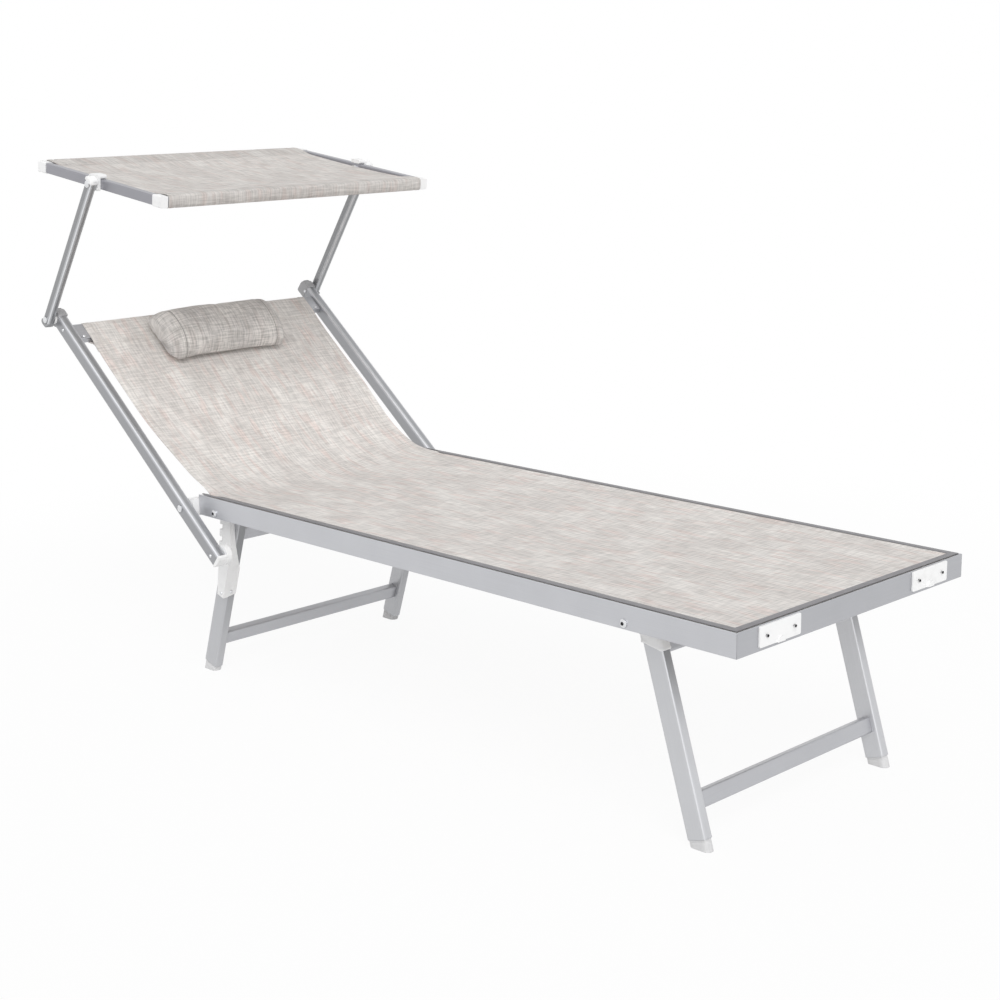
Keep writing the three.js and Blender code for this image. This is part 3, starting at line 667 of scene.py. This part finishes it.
def sling_profile():
    """The sling's upper face, from the foot rail's groove over the seat and back round the head tube.
    The bend and the head are given by their (reach, proud) on the backrest."""
    foot = [Vector((FOOT_FACE - inset * MM, 0, SEAT_TOP - drop * MM))
            for inset, drop in ((7.4, 6.6), (7.4, 4.0), (8.6, 1.4), (11.2, 0.1), (15.0, 0.0), (60.0, 0.0))]
    seat_run = [Vector((x, 0, SEAT_TOP)) for x in (0.55, 0.25, -0.05, -0.25, SEAT_REAR + 0.03, SEAT_REAR)]
    bend = [(-14, 45), (4, 35.5), (30, 24.5), (66, 15), (105, 9.3), (150, 6.2), (195, 5), (245, 4.4),
            (300, 3.8), (350, 3.8), (400, 4.6), (440, 6.8), (462, 9.3), (472, 9.3), (486, 9.3), (498, 9.3)]
    head = [(503.2, 7.9), (505.4, 4.4), (505.9, 0), (505.4, -4.4), (503.2, -7.9), (498, -9.3), (486, -9.3),
            (472, -9.3), (463, -8.4), (456, -4.4), (449, 0.6), (443, 3.2), (432, 3.0), (424, 2.4)]
    return resampled(foot + seat_run + [on_back(*place) for place in bend + head], 6 * MM)


def sling_columns():
    """Half the sling's width: (distance from the middle, place in the groove) for each column."""
    middle = [i / 26 * 0.262 for i in range(27)]
    hem = [0.2650, 0.2680, 0.2700, HEM_SEAM, 0.2735, 0.2760, 0.2790, 0.2815, 0.2830, 0.2855, 0.2880]
    edge = [(0.2890, 0.2899, 0.1), (0.2893, 0.2920, 0.8), (0.2896, 0.2937, 2.4), (0.2898, 0.2943, 4.6),
            (0.2900, 0.2938, 6.4)]
    return [(y, y, 0.0) for y in middle + hem] + edge


def hem_relief(y):
    """The doubled edge stands a little proud inside its seam, and dips under the edge strip."""
    away = abs(y)
    full, falls, flat = 0.2760, 0.2790, 0.2830
    puff = 0.5 * MM * eased(away, HEM_SEAM, full) * (1 - eased(away, falls, flat))
    pull = 0.5 * MM * math.exp(-((away - HEM_SEAM) / 0.0020) ** 2)
    return puff - pull


def build_sling():
    """One cloth: gripped in the grooves of the seat, hanging through the bend, free beside the backrest."""
    profile = sling_profile()
    lengths = run_lengths(profile)
    half = sling_columns()
    columns = [(-free, -held, drop) for free, held, drop in reversed(half[1:])] + half
    seat_end = next(i for i, point in enumerate(profile) if point.x <= SEAT_REAR + 1e-6)
    back_begin = next(i for i in range(seat_end, len(profile)) if (profile[i] - BACK_START).length < 8 * MM)
    sleeve_begin = nearest(profile, on_back(462, 9.3), back_begin)
    seat_span, sleeve_span = lengths[seat_end], lengths[sleeve_begin]
    normals = square_to(profile, 1)

    def at(row, column):
        free, held, drop = columns[column]
        along = lengths[row]
        behind = along - seat_span
        grip = 1.0 - eased(behind, -0.004, 0.10)
        drawn = DRAWN_IN * eased(behind, -0.005, 0.06) * (1 - eased(behind, 0.12, 0.30))
        point = profile[row].copy()
        point.y = (free + (held - free) * grip) * (1 - drawn)
        inside = 1.0 - (min(abs(free), HALF_CLOTH) / HALF_CLOTH) ** 2
        hang = (SEAT_HANG * eased(along, 0.0, 0.45 * seat_span)
                + REAR_HANG * eased(along, 0.88 * seat_span, seat_span))
        hang *= MM * inside * (1 - eased(behind, 0.09, 0.32))
        lift = hem_relief(free) - hang
        if row < sleeve_begin:
            fade = eased(along, 0.03, 0.12) * (1 - eased(along, sleeve_span - 0.05, sleeve_span))
            wave = 1.1 * MM * noise.noise(Vector((free * 5.0, along * 9.0, 3.1)))
            wave += 0.35 * MM * noise.noise(Vector((free * 26.0, along * 11.0, 8.7)))
            slack = 0.6 + 1.6 * eased(behind, -0.10, 0.10)
            lift += fade * min(inside * 4, 1.0) * wave * slack
        point += normals[row] * (lift - drop * grip * MM)
        return point, (free, along)

    piece = cloth_grid(len(profile), len(columns), at, SLING_CLOTH, "sling")

    seams = []
    for side in (-1, 1):
        column = min(range(len(columns)), key=lambda c: abs(columns[c][0] - side * HEM_SEAM))
        seams.append(over_grid(at, normals, range(back_begin - 4, sleeve_begin + 6), [column], 0.3))
    across = [c for c in range(len(columns)) if abs(columns[c][0]) < HEM_SEAM - 0.1 * MM]
    for reach in (446, 442):
        row = nearest(profile, on_back(reach, 7), back_begin, sleeve_begin + 1)
        seams.append(over_grid(at, normals, [row], across, 0.25))
    stitches = sewn("sling_stitches", seams)

    for item in (piece, stitches):
        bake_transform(item)
    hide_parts("seat_sling", "sling_bend", "back_sling")


# The strip's section: millimetres in from the rail's outer face, and above its top.
EDGE_SECTION = [(17.4, 0.55), (17.3, 1.2), (16.4, 1.6), (13.5, 1.85), (9.5, 1.95), (6.0, 1.8),
                (4.6, 1.3), (4.1, 0.55)]


def build_edge_strip():
    """A dark strip over the grooves of both side rails and the foot rail, mitred at the corners: painted
    shade of the grooves.
    """
    low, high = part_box("seat_rail_left")
    behind_cloth, whole = 8.6, 20.0
    half = [(low.x + 4 * MM, behind_cloth), (SEAT_REAR - 8 * MM, behind_cloth), (SEAT_REAR + 8 * MM, whole),
            (FOOT_FACE, whole)]
    mesh = bmesh.new()
    rings = []
    for side, stations in ((1, half), (-1, half[::-1])):
        for x, widest in stations:
            ring = []
            for inset, height in EDGE_SECTION:
                inset = min(inset, widest)
                mitred = x - inset * MM if x == FOOT_FACE else x
                ring.append(mesh.verts.new((mitred, side * (high.y - inset * MM), RAIL_TOP + height * MM)))
            rings.append(ring)
    skin(mesh, rings)
    bmesh.ops.remove_doubles(mesh, verts=mesh.verts, dist=0.01 * MM)
    piece = put("edge_strip", as_data(mesh, "edge_strip"), GROOVE_SHADE)
    smooth(piece.data, 40)
    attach(piece, "seat_frame")


# ---- canopy

# From the canopy's pivot to where its cloth is free and to its sleeves' seams, and the width of a side hem.
CANOPY_OPEN, SLEEVE_SEAM, SIDE_HEM = 0.150, 0.160, 0.015


def on_canopy(x, z):
    """A point in the canopy's own plane: millimetres in front of its pivot and above it."""
    a, b = x * MM, z * MM
    return Vector((TILT.x + math.cos(CANOPY_TILT) * a + math.sin(CANOPY_TILT) * b, 0.0,
                   TILT.z - math.sin(CANOPY_TILT) * a + math.cos(CANOPY_TILT) * b))


def canopy_profile():
    """From the rear hem under the cloth, round the rear tube, over the top and round the front tube."""
    end = [(152, 4.2), (160, 5.4), (167, 5.0), (180, -2.4), (193, -10.0), (199, -11.6), (206, -11.8),
           (213, -11.2), (215.8, -8.6), (216.3, 0), (215.8, 8.6), (213, 11.2), (206, 11.8), (197, 11.3),
           (180, 9.6), (166, 7.4), (160, 6.2), (150, 5.2)]
    rear = [(-x, z) for x, z in end]
    middle = [(x, 5.2 - 2.6 * (1 - (x / 150) ** 2)) for x in (-120, -90, -60, -30, 0, 30, 60, 90, 120)]
    return resampled([on_canopy(*place) for place in rear + middle + end[::-1]], 6 * MM)


def build_canopy():
    """The canopy's cloth: a sleeve round each cross tube, a little slack between them, sewn side hems."""
    profile = canopy_profile()
    lengths = run_lengths(profile)
    half_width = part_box("canopy_cloth")[1].y + 4.5 * MM
    half = [i / 24 * (half_width - 0.030) for i in range(25)] + [
        half_width - inset * MM for inset in (25, 20, 17, 15, 13, 9, 5, 2, 0)]
    columns = [-y for y in reversed(half[1:])] + half
    normals = square_to(profile, -1)
    rear_row, front_row = (nearest(profile, on_canopy(x, 6.8)) for x in (-163, 163))

    def at(row, column):
        y = columns[column]
        point = profile[row].copy()
        point.y = y
        local = (profile[row] - TILT).x
        slack = eased(CANOPY_OPEN - abs(local), -0.01, 0.05) if rear_row <= row <= front_row else 0.0
        away = half_width - abs(y)
        pull = 0.6 * MM * math.exp(-((away - SIDE_HEM) / 0.002) ** 2)
        ends = min(away / 0.06, 1.0)
        wave = noise.noise(Vector((local * 7.0, y * 6.0, 1.3)))
        crease = noise.noise(Vector((local * 30.0, y * 9.0, 5.9)))
        sag = 5.0 * MM * (1 - (y / half_width) ** 2) * slack
        lift = slack * ends * (2.2 * MM * wave + 0.9 * MM * crease) - sag - pull
        pucker = 0.0
        if abs(local) < SLEEVE_SEAM + 0.03:
            pucker = 0.5 * MM * math.sin(y * 2 * math.pi / 0.017 + 3 * wave) * math.exp(
                -((abs(local) - SLEEVE_SEAM) / 0.012) ** 2)
        point += normals[row] * (lift + pucker * ends)
        return point, (y, lengths[row])

    rear_seam, front_seam, front_turn = lengths[rear_row], lengths[front_row], lengths[-1] - 0.052
    cloth = woven("canopy_cloth", (204, 199, 195), (214, 210, 206), (207, 194, 188), 0.095, (
        (0.0, rear_seam, 0.90), (rear_seam, rear_seam + 3 * MM, 0.8),
        (front_seam - 2 * MM, front_seam, 0.85), (front_seam + 26 * MM, front_seam + 30 * MM, 1.16),
        (front_seam + 30 * MM, front_turn, 0.9), (front_turn, front_turn + 4 * MM, 1.16)))
    piece = cloth_grid(len(profile), len(columns), at, cloth, "canopy_sheet")
    across = [c for c, y in enumerate(columns) if half_width - abs(y) > 4 * MM]
    seams = [over_grid(at, normals, [row], across, 0.25)
             for row in (rear_row, rear_row + 1, front_row, front_row - 1)]
    for side in (-1, 1):
        column = min(range(len(columns)), key=lambda c: abs(columns[c] - side * (half_width - SIDE_HEM)))
        seams.append(over_grid(at, normals, range(rear_row, front_row), [column], 0.45))
    stitches = sewn("canopy_stitches", seams)
    for item in (piece, stitches):
        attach(item, "canopy")
    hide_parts("canopy_cloth")


# ---- pillow

# The roll's place on the backrest: up the rails and in front of them in millimetres, across in metres.
PILLOW_LOW, PILLOW_HIGH = 357.0, 482.0
PILLOW_MIDDLE = (PILLOW_LOW + PILLOW_HIGH) / 2
PILLOW_FOOT = 9.8
PILLOW_HALF = 0.153
PILLOW_SHIFT = -0.001
PILLOW_END = 36 * MM


def pillow_fullness(y):
    """How full the roll is at a distance from its middle: its ends are sewn flat."""
    rise = min(max(PILLOW_HALF - abs(y), 0.0) / PILLOW_END, 1.0)
    return 0.16 + 0.84 * math.sqrt(1.0 - (1.0 - rise) ** 2)


def pillow_section():
    """A flat-backed roll in (reach, proud) millimetres: fuller towards its top."""
    half = (PILLOW_HIGH - PILLOW_LOW) / 2
    outline, steps = [], 44
    for step in range(steps):
        angle = 2 * math.pi * step / steps
        front = math.cos(angle)
        reach = PILLOW_MIDDLE + half * math.copysign(abs(math.sin(angle)) ** 0.85, math.sin(angle))
        depth = 47.0 if front > 0 else 3.0
        swell = 1.0 + 0.2 * math.sin(angle)
        proud = PILLOW_FOOT + 5.0 + depth * math.copysign(abs(front) ** 0.8, front) * swell
        outline.append((reach, proud))
    return outline


def pillow_shell():
    """The roll before it is filled: sections along Y, pressed flat where its ends are sewn shut."""
    mesh = bmesh.new()
    outline = pillow_section()
    half = PILLOW_HALF / MM
    inner = [i / 14 * (half - 42) for i in range(-14, 15)]
    ends = [half - inset for inset in (36, 30, 24, 18, 13, 9, 6, 3.5, 1.5, 0)]
    low = PILLOW_FOOT + 1.5
    rings = []
    for y in [-end for end in reversed(ends)] + inner + ends:
        fullness = pillow_fullness(y * MM)
        drawn = (1.0 - min((half - abs(y)) / 26, 1.0)) ** 2.2
        ring = []
        for reach, proud in outline:
            shrink = 1.0 - (0.34 if reach < PILLOW_MIDDLE else 0.08) * drawn
            ring.append(mesh.verts.new(on_back(
                PILLOW_MIDDLE + (reach - PILLOW_MIDDLE) * shrink, low + (proud - low) * fullness,
                y * MM + PILLOW_SHIFT)))
        rings.append(ring)
    skin(mesh, rings)
    return as_data(mesh, "pillow_roll")


def fill(piece, furthest):
    """Fills the shell as cloth under pressure, and lets no point move further than that."""
    scene = bpy.context.scene
    start = [vertex.co.copy() for vertex in piece.data.vertices]
    last_frame = 20
    cloth = piece.modifiers.new("filling", "CLOTH")
    set_all(cloth.settings, use_pressure=True, uniform_pressure_force=4.0, quality=5, mass=0.25,
            tension_stiffness=12, compression_stiffness=12)
    cloth.settings.effector_weights.gravity = 0.0
    set_all(cloth.point_cache, frame_start=1, frame_end=last_frame)
    for step in range(1, last_frame + 1):
        scene.frame_set(step)
    frozen(piece)
    scene.frame_set(1)
    for vertex, before in zip(piece.data.vertices, start):
        move = vertex.co - before
        if move.length > furthest:
            vertex.co = before + move * (furthest / move.length)


def pillow_place(point):
    """A point's (reach, proud) on the backrest, in millimetres."""
    away = point - BACK
    reach = (-math.cos(BACK_ANGLE) * away.x + math.sin(BACK_ANGLE) * away.z) / MM
    proud = (math.sin(BACK_ANGLE) * away.x + math.cos(BACK_ANGLE) * away.z) / MM
    return reach, proud


def crease_pillow(piece, ends):
    """Soft waves over the roll, creases that run out from its end seams, and a flat back on the sling."""
    floor = PILLOW_FOOT + 0.4
    normals = [vertex.normal.copy() for vertex in piece.data.vertices]
    for vertex, normal in zip(piece.data.vertices, normals):
        reach, proud = pillow_place(vertex.co)
        y = vertex.co.y - PILLOW_SHIFT
        wave = noise.noise(Vector((y * 11, reach * 0.012, proud * 0.02)))
        crease = noise.noise(Vector((y * 40, reach * 0.018, proud * 0.03 + 4.0)))
        near_end = math.exp(-((abs(y) - ends) / 0.005) ** 2)
        from_end = math.exp(-abs(abs(y) - ends) / 0.03)
        move = (1.8 * wave + 1.1 * crease * from_end - 1.2 * near_end) * eased(proud, 12, 26)
        vertex.co += normal * move * MM
        proud = pillow_place(vertex.co)[1]
        if proud < floor:
            vertex.co += on_back(0, floor - proud) - BACK


def map_pillow(piece):
    """Lays the cloth's yarns round the roll and along it."""
    flat = piece.data.uv_layers.new(name="cloth")
    for polygon in piece.data.polygons:
        turns = []
        for index in polygon.loop_indices:
            point = piece.data.vertices[piece.data.loops[index].vertex_index].co
            reach, proud = pillow_place(point)
            depth = (proud - PILLOW_FOOT - 1.5) / pillow_fullness(point.y - PILLOW_SHIFT)
            turns.append((index, math.atan2(reach - PILLOW_MIDDLE, depth - 7), point.y))
        wraps = max(turn for _, turn, _ in turns) - min(turn for _, turn, _ in turns) > math.pi
        for index, turn, y in turns:
            if wraps and turn < 0:
                turn += 2 * math.pi
            flat.data[index].uv = (y, turn * 0.062)


def build_pillow():
    """The filled roll, with piping where each end is sewn on."""
    piece = put("pillow_roll", pillow_shell(), PILLOW_CLOTH)
    changed(piece, "REMESH", mode="VOXEL", voxel_size=5 * MM)
    fill(piece, 8 * MM)
    changed(piece, "SUBSURF", levels=1, render_levels=1)
    ends = PILLOW_HALF - PILLOW_END
    crease_pillow(piece, ends)
    map_pillow(piece)
    smooth(piece.data)

    def turn(point):
        reach, proud = pillow_place(point)
        return math.atan2(reach - PILLOW_MIDDLE, proud - PILLOW_FOOT - 8)

    seams = []
    for name, side in reversed(SIDES):
        section = bmesh.new()
        section.from_mesh(piece.data)
        everything = section.verts[:] + section.edges[:] + section.faces[:]
        sliced = bmesh.ops.bisect_plane(section, geom=everything, plane_no=Y_AXIS,
                                        plane_co=(0, side * ends + PILLOW_SHIFT, 0))
        points = [item.co.copy() for item in sliced["geom_cut"] if isinstance(item, bmesh.types.BMVert)]
        section.free()
        seams.append(piping(f"pillow_piping_{name}", sorted(points, key=turn)[::2], 0.75 * MM, PILLOW_THREAD))
    for item in [piece] + seams:
        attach(item, "backrest")
    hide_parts("pillow")


# ---- fasteners and small mouldings

def on_leg(end, along, forward, y):
    """A point on a leg: millimetres down it from its pivot, and in front of its middle."""
    run, front = Vector(leg_run(end)), Vector(leg_face(end))
    return pivots[f"{end}_leg_fold"] + run * along * MM + front * forward * MM + Vector((0, y, 0))


def build_fasteners():
    """Button screws of each size and body, all set by one tree. A head's profile, and a washer's,
    is in units of its radius, with its seat at height 0."""
    plate_low, plate_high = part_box("foot_plate_left")
    plate = (plate_low + plate_high) / 2
    rail_low, rail_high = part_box("back_rail_left")
    rack_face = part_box("rack_left")[1].y
    plates, sockets, tube_screws, rack_screws, washers = [], [], [], [], []
    for side in (-1, 1):
        outward = Vector((0, side, 0))
        for hole in (-33.5, 33.5):
            place = (plate_high.x - 0.6 * MM, side * plate.y + hole * MM, plate.z)
            plates.append((place, Vector(X_AXIS)))
        for end in ("front", "rear"):
            low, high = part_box(f"{end}_leg_bolt_left")
            middle = (low + high) / 2
            sockets.append(((middle.x, side * (high.y - 0.2 * MM), middle.z), outward))
        tube_screws += [
            (on_back(-121, -3, side * rail_high.y), outward),
            (on_back(497, 1, side * rail_high.y), outward),
            (on_back(467, 8.2, side * 0.3030), Vector(BACK_FACE)),
            (on_back(526, 1, side * (rail_low.y - 0.8 * MM)), -outward)]
        washers.append(((ARM.x, side * (rail_high.y + 0.3 * MM), ARM.z), outward))
        rack_screws += [
            (on_leg("rear", 182, 11.5, side * rack_face), outward),
            (on_leg("rear", 178, 20.6, side * (rack_face - 17 * MM)), Vector(leg_face("rear")))]
    head = spun([(0, -0.25), (0.55, -0.25), (0.55, 0.0), (1.0, 0.0), (1.04, 0.06), (1.0, 0.2), (0.85, 0.38),
                 (0.6, 0.52), (0.36, 0.58), (0.32, 0.56), (0.30, 0.30), (0, 0.26)], 20)
    # The dark heads are painted shade of the plates' screw holes and the leg bolts' sockets.
    fastened("plate_screws", "seat_frame", plates, head, 2.35 * MM, HOLE_SHADE)
    fastened("leg_bolt_sockets", "seat_frame", sockets, head, 2.9 * MM, HOLE_SHADE)
    fastened("backrest_screws", "backrest", tube_screws, head, 3.4 * MM, ZINC)
    fastened("rack_screws", "rear_legs", rack_screws, head, 3.4 * MM, ZINC)
    washer = spun([(0, 0), (0.94, 0), (1.0, 0.06), (1.0, 0.44), (0.94, 0.5), (0, 0.5)], 32)
    fastened("arm_washers", "backrest", washers, washer, 10.5 * MM, WHITE_NYLON)


def build_collars():
    """White skirts round the tops of the front legs, with a beaded rim that is lowest at the leg's front."""
    half_width, half_depth, corner = 19.0, 10.0, 5.0
    round_leg = []
    for quarter, (cx, cy) in enumerate(((1, 1), (-1, 1), (-1, -1), (1, -1))):
        for step in range(7):
            angle = math.pi / 2 * (quarter + step / 6)
            out = (math.cos(angle), math.sin(angle))
            round_leg.append(((cx * (half_width - corner), cy * (half_depth - corner)), out))
    for name in ("left", "right"):
        low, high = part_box(f"front_leg_{name}")
        middle = (low.y + high.y) / 2
        mesh = bmesh.new()
        rings = []
        for (x, y), (ox, oy) in round_leg:
            rim = 40.0 + 17.0 * eased(x + ox * corner, 2, 18)
            profile = ((0.3, 15), (2.5, 15), (2.5, rim - 5), (3.3, rim - 3.2), (3.3, rim - 1), (2.5, rim),
                       (0.3, rim))
            rings.append([mesh.verts.new(on_leg("front", along, x + ox * (corner + off),
                                                middle + (y + oy * (corner + off)) * MM))
                          for off, along in profile])
        skin(mesh, rings, closed=True)
        piece = put(f"leg_skirt_{name}", as_data(mesh, "collar"), WHITE_NYLON)
        smooth(piece.data, 55)
        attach(piece, "front_legs")


def rounded_end(low, high, front, rear, front_radius, rear_radius):
    """An outline in millimetres: square at its low end, rounded at both corners of its high one."""
    outline, steps = [(low, -front)], 6
    for side, radius, start in ((-front, front_radius, -90), (rear, rear_radius, 0)):
        middle = (high - radius, side - math.copysign(radius, side))
        for step in range(steps + 1):
            angle = math.radians(start + 90 * step / steps)
            outline.append((middle[0] + radius * math.cos(angle), middle[1] + radius * math.sin(angle)))
    return outline + [(low, rear)]


def moulded(name, outline, origin, along, inner, outer, material):
    """A moulding with that outline in the XZ plane, between two places across the lounger."""
    across = Vector((-along.z, 0.0, along.x))
    mesh = bmesh.new()
    skin(mesh, [[mesh.verts.new(origin + along * a * MM + across * b * MM + Vector((0, y, 0)))
                 for a, b in outline] for y in (inner, outer)])
    piece = put(name, as_data(mesh, name), material)
    changed(piece, "BEVEL", width=1.1 * MM, segments=3, angle_limit=math.radians(50))
    smooth(piece.data, 45)
    return piece


def build_rail_caps():
    """Rounded caps over the upper ends of the backrest rails."""
    low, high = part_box("back_rail_left")
    outline = rounded_end(523, 549, 17.2, 15.6, 13.0, 3.5)
    for name, side in SIDES:
        piece = moulded(f"rail_cap_{name}", outline, BACK, Vector(BACK_RUN),
                        side * (low.y - 0.8 * MM), side * (high.y + 0.25 * MM), CAP_NYLON)
        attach(piece, "backrest")


def build_arm_caps():
    """The end caps of the canopy arms, past their bolts: white above, grey below."""
    low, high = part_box("canopy_arm_left")
    run = Vector(ARM_RUN)
    for name, side in SIDES:
        for label, pivot, along, start, material in (
                ("top", TILT, run, 4.5, WHITE_NYLON), ("foot", ARM, -run, 5, GREY_NYLON)):
            outline = rounded_end(start, 14.5, 11.5, 11.5, 7.0, 7.0)
            piece = moulded(f"arm_{label}_cap_{name}", outline, pivot, along,
                            side * (low.y + 0.3 * MM), side * (high.y + 1.3 * MM), material)
            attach(piece, "canopy_arms")


# ---- stage

WHITE = (1.0, 1.0, 1.0, 1.0)
FOCAL_PIXELS, PICTURE_PIXELS = 1810.1, 1000
CAMERA_YAW, CAMERA_PITCH, CAMERA_ROLL = map(math.radians, (135.6532, -13.2585, -0.8694))
CAMERA_FROM_BACK = Vector((2.875362, -2.278345, 0.811955))


def build_floor():
    """A white floor that the camera sees as plain white, but for the shadow near the lounger."""
    mesh = bpy.data.meshes.new("floor")
    reach = 8.0
    corners = [(-reach, -reach, 0), (reach, -reach, 0), (reach, reach, 0), (-reach, reach, 0)]
    mesh.from_pydata(corners, [], [(0, 1, 2, 3)])
    f = Finish("floor_paint")
    far = f.node("ShaderNodeVectorMath", {"operation": "LENGTH"}, {0: f.place()}, "Value")
    shadow_end, clear = 1.2, 2.4
    plain = f.seen() * f.spread(far, shadow_end, clear, 0.93, 1.0)
    matt = f.node("ShaderNodeBsdfDiffuse", {}, {"Color": (0.86, 0.86, 0.86, 1.0)})
    white = f.node("ShaderNodeEmission", {}, {"Color": WHITE, "Strength": 1.0})
    mixed = f.node("ShaderNodeMixShader", {}, {0: plain, 1: matt, 2: white})
    f.node("ShaderNodeOutputMaterial", {}, {"Surface": mixed})
    put("floor", mesh, f.material)


def build_light():
    """White surroundings, a wide key light and a fill, both from the foot end."""
    world = bpy.data.worlds.new("studio")
    bpy.context.scene.world = world
    world.use_nodes = True
    w = Graph(world.node_tree)
    w.tree.nodes.clear()
    glow = w.node("ShaderNodeBackground", {}, {"Color": WHITE, "Strength": 0.62})
    white = w.node("ShaderNodeBackground", {}, {"Color": WHITE, "Strength": 1.0})
    mixed = w.node("ShaderNodeMixShader", {}, {0: w.seen(), 1: glow, 2: white})
    w.node("ShaderNodeOutputWorld", {}, {"Surface": mixed})
    for name, direction, power, angle in (
            ("key", (0.75, -0.6, 1.0), 1.25, 40), ("fill", (1.0, -0.8, 0.4), 0.55, 50)):
        lamp = set_all(bpy.data.lights.new(name, "SUN"), energy=power, angle=math.radians(angle))
        linked(name, lamp).rotation_euler = Vector(direction).to_track_quat("Z", "Y").to_euler()


def build_camera():
    """The camera that fits the frame."""
    scene = bpy.context.scene
    camera = set_all(bpy.data.cameras.new("camera"), sensor_width=36.0,
                     lens=FOCAL_PIXELS / PICTURE_PIXELS * 36, clip_end=100)
    level = math.cos(CAMERA_PITCH)
    look = Vector((math.cos(CAMERA_YAW) * level, math.sin(CAMERA_YAW) * level, math.sin(CAMERA_PITCH)))
    right = look.cross(Vector((0, 0, 1))).normalized()
    up = right.cross(look)
    cos, sin = math.cos(CAMERA_ROLL), math.sin(CAMERA_ROLL)
    columns = [cos * right + sin * up, -sin * right + cos * up, -look, BACK + CAMERA_FROM_BACK]
    scene.camera = linked("camera", camera)
    scene.camera.matrix_world = Matrix([[column[i] for column in columns] for i in range(3)] + [[0, 0, 0, 1]])
    scene.view_settings.view_transform = "Standard"


build_floor()
build_light()
build_camera()
build_sling()
build_edge_strip()
build_canopy()
build_pillow()
build_collars()
build_rail_caps()
build_arm_caps()
build_fasteners()
